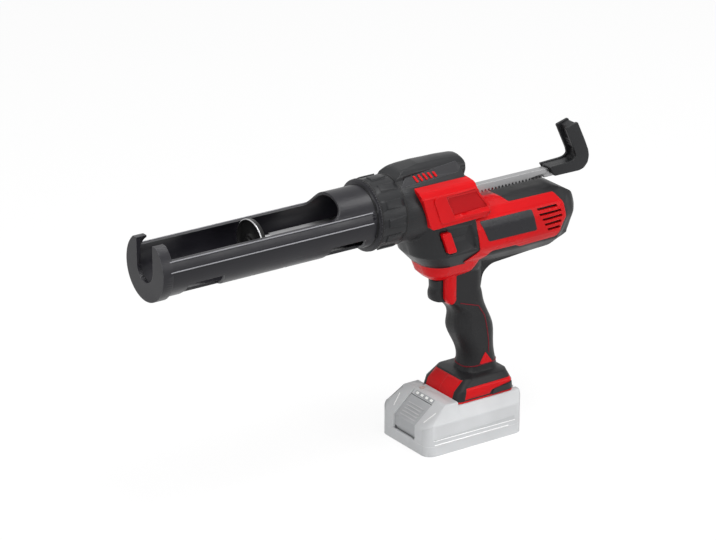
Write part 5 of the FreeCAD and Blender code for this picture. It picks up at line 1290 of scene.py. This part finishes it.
@dataclass
class Plunger(Assembly):
    """The toothed rod with its push plate and pull handle."""

    rim_bead: float = 0.7
    handle: Route = (
        (-109.8, 236.7), (-103.4, 246.6), (-127.1, 247.4), (-131.9, 248.2), (-135.1, 250.9), (-133.7, 256.1),
        (-121.9, 281.5), (-135.9, 285.3), (-145.0, 265.8), (-149.4, 255.2), (-150.4, 249.2), (-149.1, 242.6),
        (-144.5, 237.8), (-139.1, 236.4),
    )
    core: Route = (
        (-110.4, 237.3), (-104.4, 246.0), (-127.3, 246.6), (-133.5, 247.4), (-137.8, 250.6), (-137.4, 256.6),
        (-126.4, 281.0), (-135.5, 284.3), (-144.4, 265.8), (-148.8, 255.2), (-149.8, 249.2), (-148.5, 243.0),
        (-144.2, 238.4), (-139.1, 237.0),
    )
    handle_bend: float = 1.6
    handle_half: float = 8.5
    handle_edge: float = 0.7
    core_edge: float = 0.3
    rim_width: float = 2.6
    ribs: Row = Row((-133.0, 0.0, 266.0), (1.2, 11.0, 0.6), (0.0, 66.0, 0.0), (-1.25, 0.0, -2.9), 3)

    def build(self) -> None:
        """Makes the plunger."""
        self.soften("rack_rod")
        self.soften("push_plate", Trim.PLUNGER)
        self.soften("push_plate_screw", Trim.PLUNGER)
        self.palette.paint(frame["nodes"]["pull_handle_pin"], Trim.PLUNGER)
        low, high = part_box("push_plate")
        middle, radius = (low + high) / 2, (high.z - low.z) / 2
        ring = circle(Vector((high.x - self.rim_bead * MM, middle.y, middle.z)), radius)
        self.makers.bead("plate_rim", Dress(Slot.PLATE, "rod"), ring, self.rim_bead)
        dark, inner = Dress(Slot.DARK, "rod"), self.handle_half - self.rim_width
        outline = rounded(self.core, self.handle_bend)
        core = self.slab("handle_core", dark, outline, (-inner, inner), self.core_edge)
        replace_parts(core, "pull_handle")
        outline = rounded(self.handle, self.handle_bend)
        for side in Side:
            low, high = sorted((side.value * inner, side.value * self.handle_half))
            self.slab("handle_rim_" + side.word, dark, outline, (low, high), self.handle_edge)
        self.makers.row("handle_ribs", Dress(Slot.DARK, "rod", Trim.GRIP), self.ribs)


@dataclass
class Controls(Assembly):
    """The trigger and the side slider."""

    finger: Route = ((0.0, 0.0), (3.0, 0.3), (6.0, 1.3), (7.8, 2.6), (9.0, 4.6))
    finger_cuts: tuple[float, ...] = (-7.8, -6.0, -3.0, 0.0, 3.0, 6.0, 7.8)
    finger_span: Route = ((12.0, 0.0), (27.0, 1.0))
    toe: Route = ((19.0, 0.0), (25.0, 3.2))
    toe_fade: Route = ((143.5, 1.0), (147.0, 0.0))
    pad_depth: float = 4.55
    cover_back: float = 8.0
    cover_depth: float = 5.37
    cover_plate: Triple = (25.4, 4.4, 0.6)
    cover_turn: Triple = (-90.0, 0.0, 0.0)
    cover_corner: float = 0.2

    def build(self) -> None:
        """Makes the controls."""
        self.soften("trigger", reshape=self._round_finger)
        self.soften("side_slider", reshape=self._pad_only)
        low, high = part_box("side_slider")
        middle = (low + high) / 2 / MM
        place = (middle.x - self.cover_back, high.y / MM - self.cover_depth, middle.z)
        cover = Row(place, self.cover_plate, self.cover_turn, corner=self.cover_corner)
        self.makers.row("slot_cover", Dress(Slot.DARK, "tool", Trim.THIN), cover)

    def _round_finger(self, bm: BMesh) -> None:
        """Rounds the front of the trigger, and fills out its toe.

        Args:
            bm: the trigger.
        """
        for place in self.finger_cuts:
            cut(bm, bm.faces[:], place, ACROSS)
        for vert in bm.verts:
            x, y, z = vert.co / MM
            vert.co.x -= between(self.finger_span, x) * between(self.finger, abs(y)) * MM
            vert.co.z -= between(self.toe, x) * between(self.toe_fade, z) * MM

    def _pad_only(self, bm: BMesh) -> None:
        """Leaves out the stem of the slider, which runs under the cover of its slot.

        Args:
            bm: the slider.
        """
        level = (max(v.co.y for v in bm.verts) - self.pad_depth * MM) * ACROSS
        parts = bm.verts[:] + bm.edges[:] + bm.faces[:]
        bmesh.ops.bisect_plane(bm, geom=parts, plane_co=level, plane_no=ACROSS, clear_inner=True)
        bmesh.ops.edgeloop_fill(bm, edges=[e for e in bm.edges if e.is_boundary])


@dataclass
class Battery(Assembly):
    """The battery pack with its latch and charge gauge."""

    nodes: tuple[str, ...] = ("battery_lower_case", "battery_upper_case", "battery_latch", "gauge_button")
    bezel: Route = ((30.6, 46.0), (31.0, 46.0), (35.6, 42.3), (30.6, 42.3))
    bezel_edge: float = 0.2
    latch_half: float = 16.8
    bar: Row = Row((33.3, 1.6, 44.1), (4.2, 29.0, 0.3), (0.0, 39.0, 0.0), corner=1.0)
    lights: Row = Row((33.4, -9.5, 44.2), (2.5, 3.6, 0.6), (0.0, 39.0, 0.0), (0.0, 7.4, 0.0), 4)
    ribs: Row = Row((41.5, 0.0, 36.4), (1.1, 24.0, 0.6), (0.0, 42.0, 0.0), (2.5, 0.0, -2.26), 5)
    skirt: Route = ((51.4, 11.2), (52.6, 11.2), (52.6, 16.0), (51.4, 16.0))
    skirt_edge: float = 0.1
    panel: Plate = Plate(
        ((49.0, 16.0), (48.6, 19.0), (39.0, 24.6), (-43.9, 21.4), (-45.0, 14.9)), 2.0, 0.3
    )
    lines: tuple[Route, ...] = (((49.0, 16.0), (-44.7, 14.9)), ((48.0, 11.4), (-37.4, 10.8)))
    line_step: float = 4.0
    line_radius: float = 0.5
    # The ends of a white bead on the front shoulder edge of the pack: a painted highlight
    shoulder: tuple[Triple, Triple] = ((50.5, 24.2, 30.5), (40.2, 29.0, 39.0))

    def build(self) -> None:
        """Makes the battery."""
        for node in self.nodes:
            self.soften(node)
        across = (-self.latch_half, self.latch_half)
        self.slab("gauge_bezel", Dress(Slot.PALE, "battery"), self.bezel, across, self.bezel_edge)
        self.makers.row("gauge_bar", Dress(Slot.LATCH, "battery", Trim.POCKET), self.bar)
        self.makers.row("charge_lights", Dress(Slot.PALE, "battery", Trim.LIGHT), self.lights)
        self.makers.row("latch_ribs", Dress(Slot.LATCH, "latch", Trim.RIB), self.ribs)
        self.slab("latch_skirt", Dress(Slot.LATCH, "latch"), self.skirt, across, self.skirt_edge)
        skin = Skin("battery_upper_case", "battery_lower_case")
        grey, white = (Dress(Slot.PALE, "battery", trim) for trim in (Trim.PANEL, Trim.WHITE))
        for side in Side:
            self.palette.fix("pack_panel_" + side.word, skin.patch(self.panel, side), grey)
            for index, route in enumerate(self.lines, start=1):
                trail = skin.trail(route, side, self.line_step)
                self.makers.bead(f"pack_line_{side.word}_{index}", white, trail, self.line_radius)
            # A white bead along the front shoulder edge: painted highlight
            ends = [side.point(place) for place in self.shoulder]
            self.makers.bead("pack_shoulder_" + side.word, white, ends, self.line_radius)


@dataclass
class Studio:
    """The camera, the lights and the pale floor."""

    eye: Triple = (1.75226, 2.38600, 1.34187)
    aim: Triple = (0.10808, 0.0, 0.18852)
    lens: float = 172.26
    floor_size: float = 14.0
    floor_tint: float = 0.86
    floor_white: float = 0.82
    floor_glow: float = 1.06
    ambient: float = 0.36
    lamps: tuple[tuple[str, Triple, float, float], ...] = (
        ("top", (-0.1, 0.5, 2.1), 1.3, 30.0),
        ("key", (1.9, 1.5, 1.3), 0.9, 16.0),
        ("side", (-1.2, 2.1, 0.9), 1.0, 12.0),
    )

    def build(self, floor_z: float) -> None:
        """Sets the stage.

        Args:
            floor_z: the height of the floor, in metres.
        """
        scene = bpy.context.scene
        scene.view_settings.view_transform = "Standard"
        camera = bpy.data.cameras.new("camera")
        camera.lens = self.lens
        scene.camera = self._place("camera", camera, self.eye)
        for name, place, size, power in self.lamps:
            lamp = bpy.data.lights.new(name, "AREA")
            lamp.shape, lamp.size, lamp.energy = "DISK", size, power
            self._place(name, lamp, place)
        self._sky()
        self._floor(floor_z)

    def _place(self, name: str, data: ID, eye: Triple) -> Object:
        """Puts a camera or lamp in place and turns it to the tool.

        Args:
            name: its name.
            data: the camera or lamp.
            eye: its place.

        Returns:
            Its object.
        """
        obj = bpy.data.objects.new(name, data)
        bpy.context.scene.collection.objects.link(obj)
        obj.location = eye
        obj.rotation_euler = (Vector(self.aim) - Vector(eye)).to_track_quat("-Z", "Y").to_euler()
        return obj

    @staticmethod
    def _seen(graph: Graph) -> NodeSocket:
        """Tells the rays that look at the background from those that light.

        Args:
            graph: the tree that needs it.

        Returns:
            The mask.
        """
        path = graph.add("ShaderNodeLightPath").outputs
        both = graph.calc("MAXIMUM", path["Is Camera Ray"], path["Is Glossy Ray"])
        return graph.calc("MAXIMUM", both, path["Is Transmission Ray"])

    def _sky(self) -> None:
        """Makes an even sky that looks white."""
        world = bpy.data.worlds.new("studio_sky")
        bpy.context.scene.world = world
        world.use_nodes = True
        graph = Graph(world.node_tree)
        lit, white = (
            graph.add("ShaderNodeBackground", {"Color": (1, 1, 1, 1), "Strength": strength}).outputs[0]
            for strength in (self.ambient, 1.0)
        )
        mixed = graph.add("ShaderNodeMixShader", {0: self._seen(graph), 1: lit, 2: white})
        graph.add("ShaderNodeOutputWorld", {"Surface": mixed.outputs[0]})

    def _floor(self, height: float) -> None:
        """Makes the floor, which keeps a soft shadow.

        Args:
            height: its height, in metres.
        """
        half = self.floor_size / 2
        mesh = bpy.data.meshes.new("floor")
        corners = [(-half, -half), (half, -half), (half, half), (-half, half)]
        mesh.from_pydata([(x, y, height) for x, y in corners], [], [(0, 1, 2, 3)])
        made = bpy.data.materials.new("pale_floor")
        made.use_nodes = True
        graph = Graph(made.node_tree)
        tint = self.floor_tint
        matt = graph.add("ShaderNodeBsdfDiffuse", {"Color": (tint, tint, tint, 1)})
        glow = graph.add("ShaderNodeEmission", {"Color": (1, 1, 1, 1), "Strength": self.floor_glow})
        share = graph.calc("MULTIPLY", self._seen(graph), self.floor_white)
        mixed = graph.add("ShaderNodeMixShader", {0: share, 1: matt.outputs[0], 2: glow.outputs[0]})
        graph.add("ShaderNodeOutputMaterial", {"Surface": mixed.outputs[0]})
        mesh.materials.append(made)
        link("floor", mesh)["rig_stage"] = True


def main() -> None:
    """Builds the tool piece by piece, and its stage."""
    logging.basicConfig(level=logging.INFO, format="%(name)s: %(message)s")
    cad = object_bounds()
    palette = Palette()
    makers = Makers(palette)
    for kind in (Shell, FrontEnd, Plunger, Controls, Battery):
        log.info("building %s", kind.__name__)
        kind(palette, makers).build()
    Studio().build(cad[0].z)


if __name__ == "__main__":
    main()
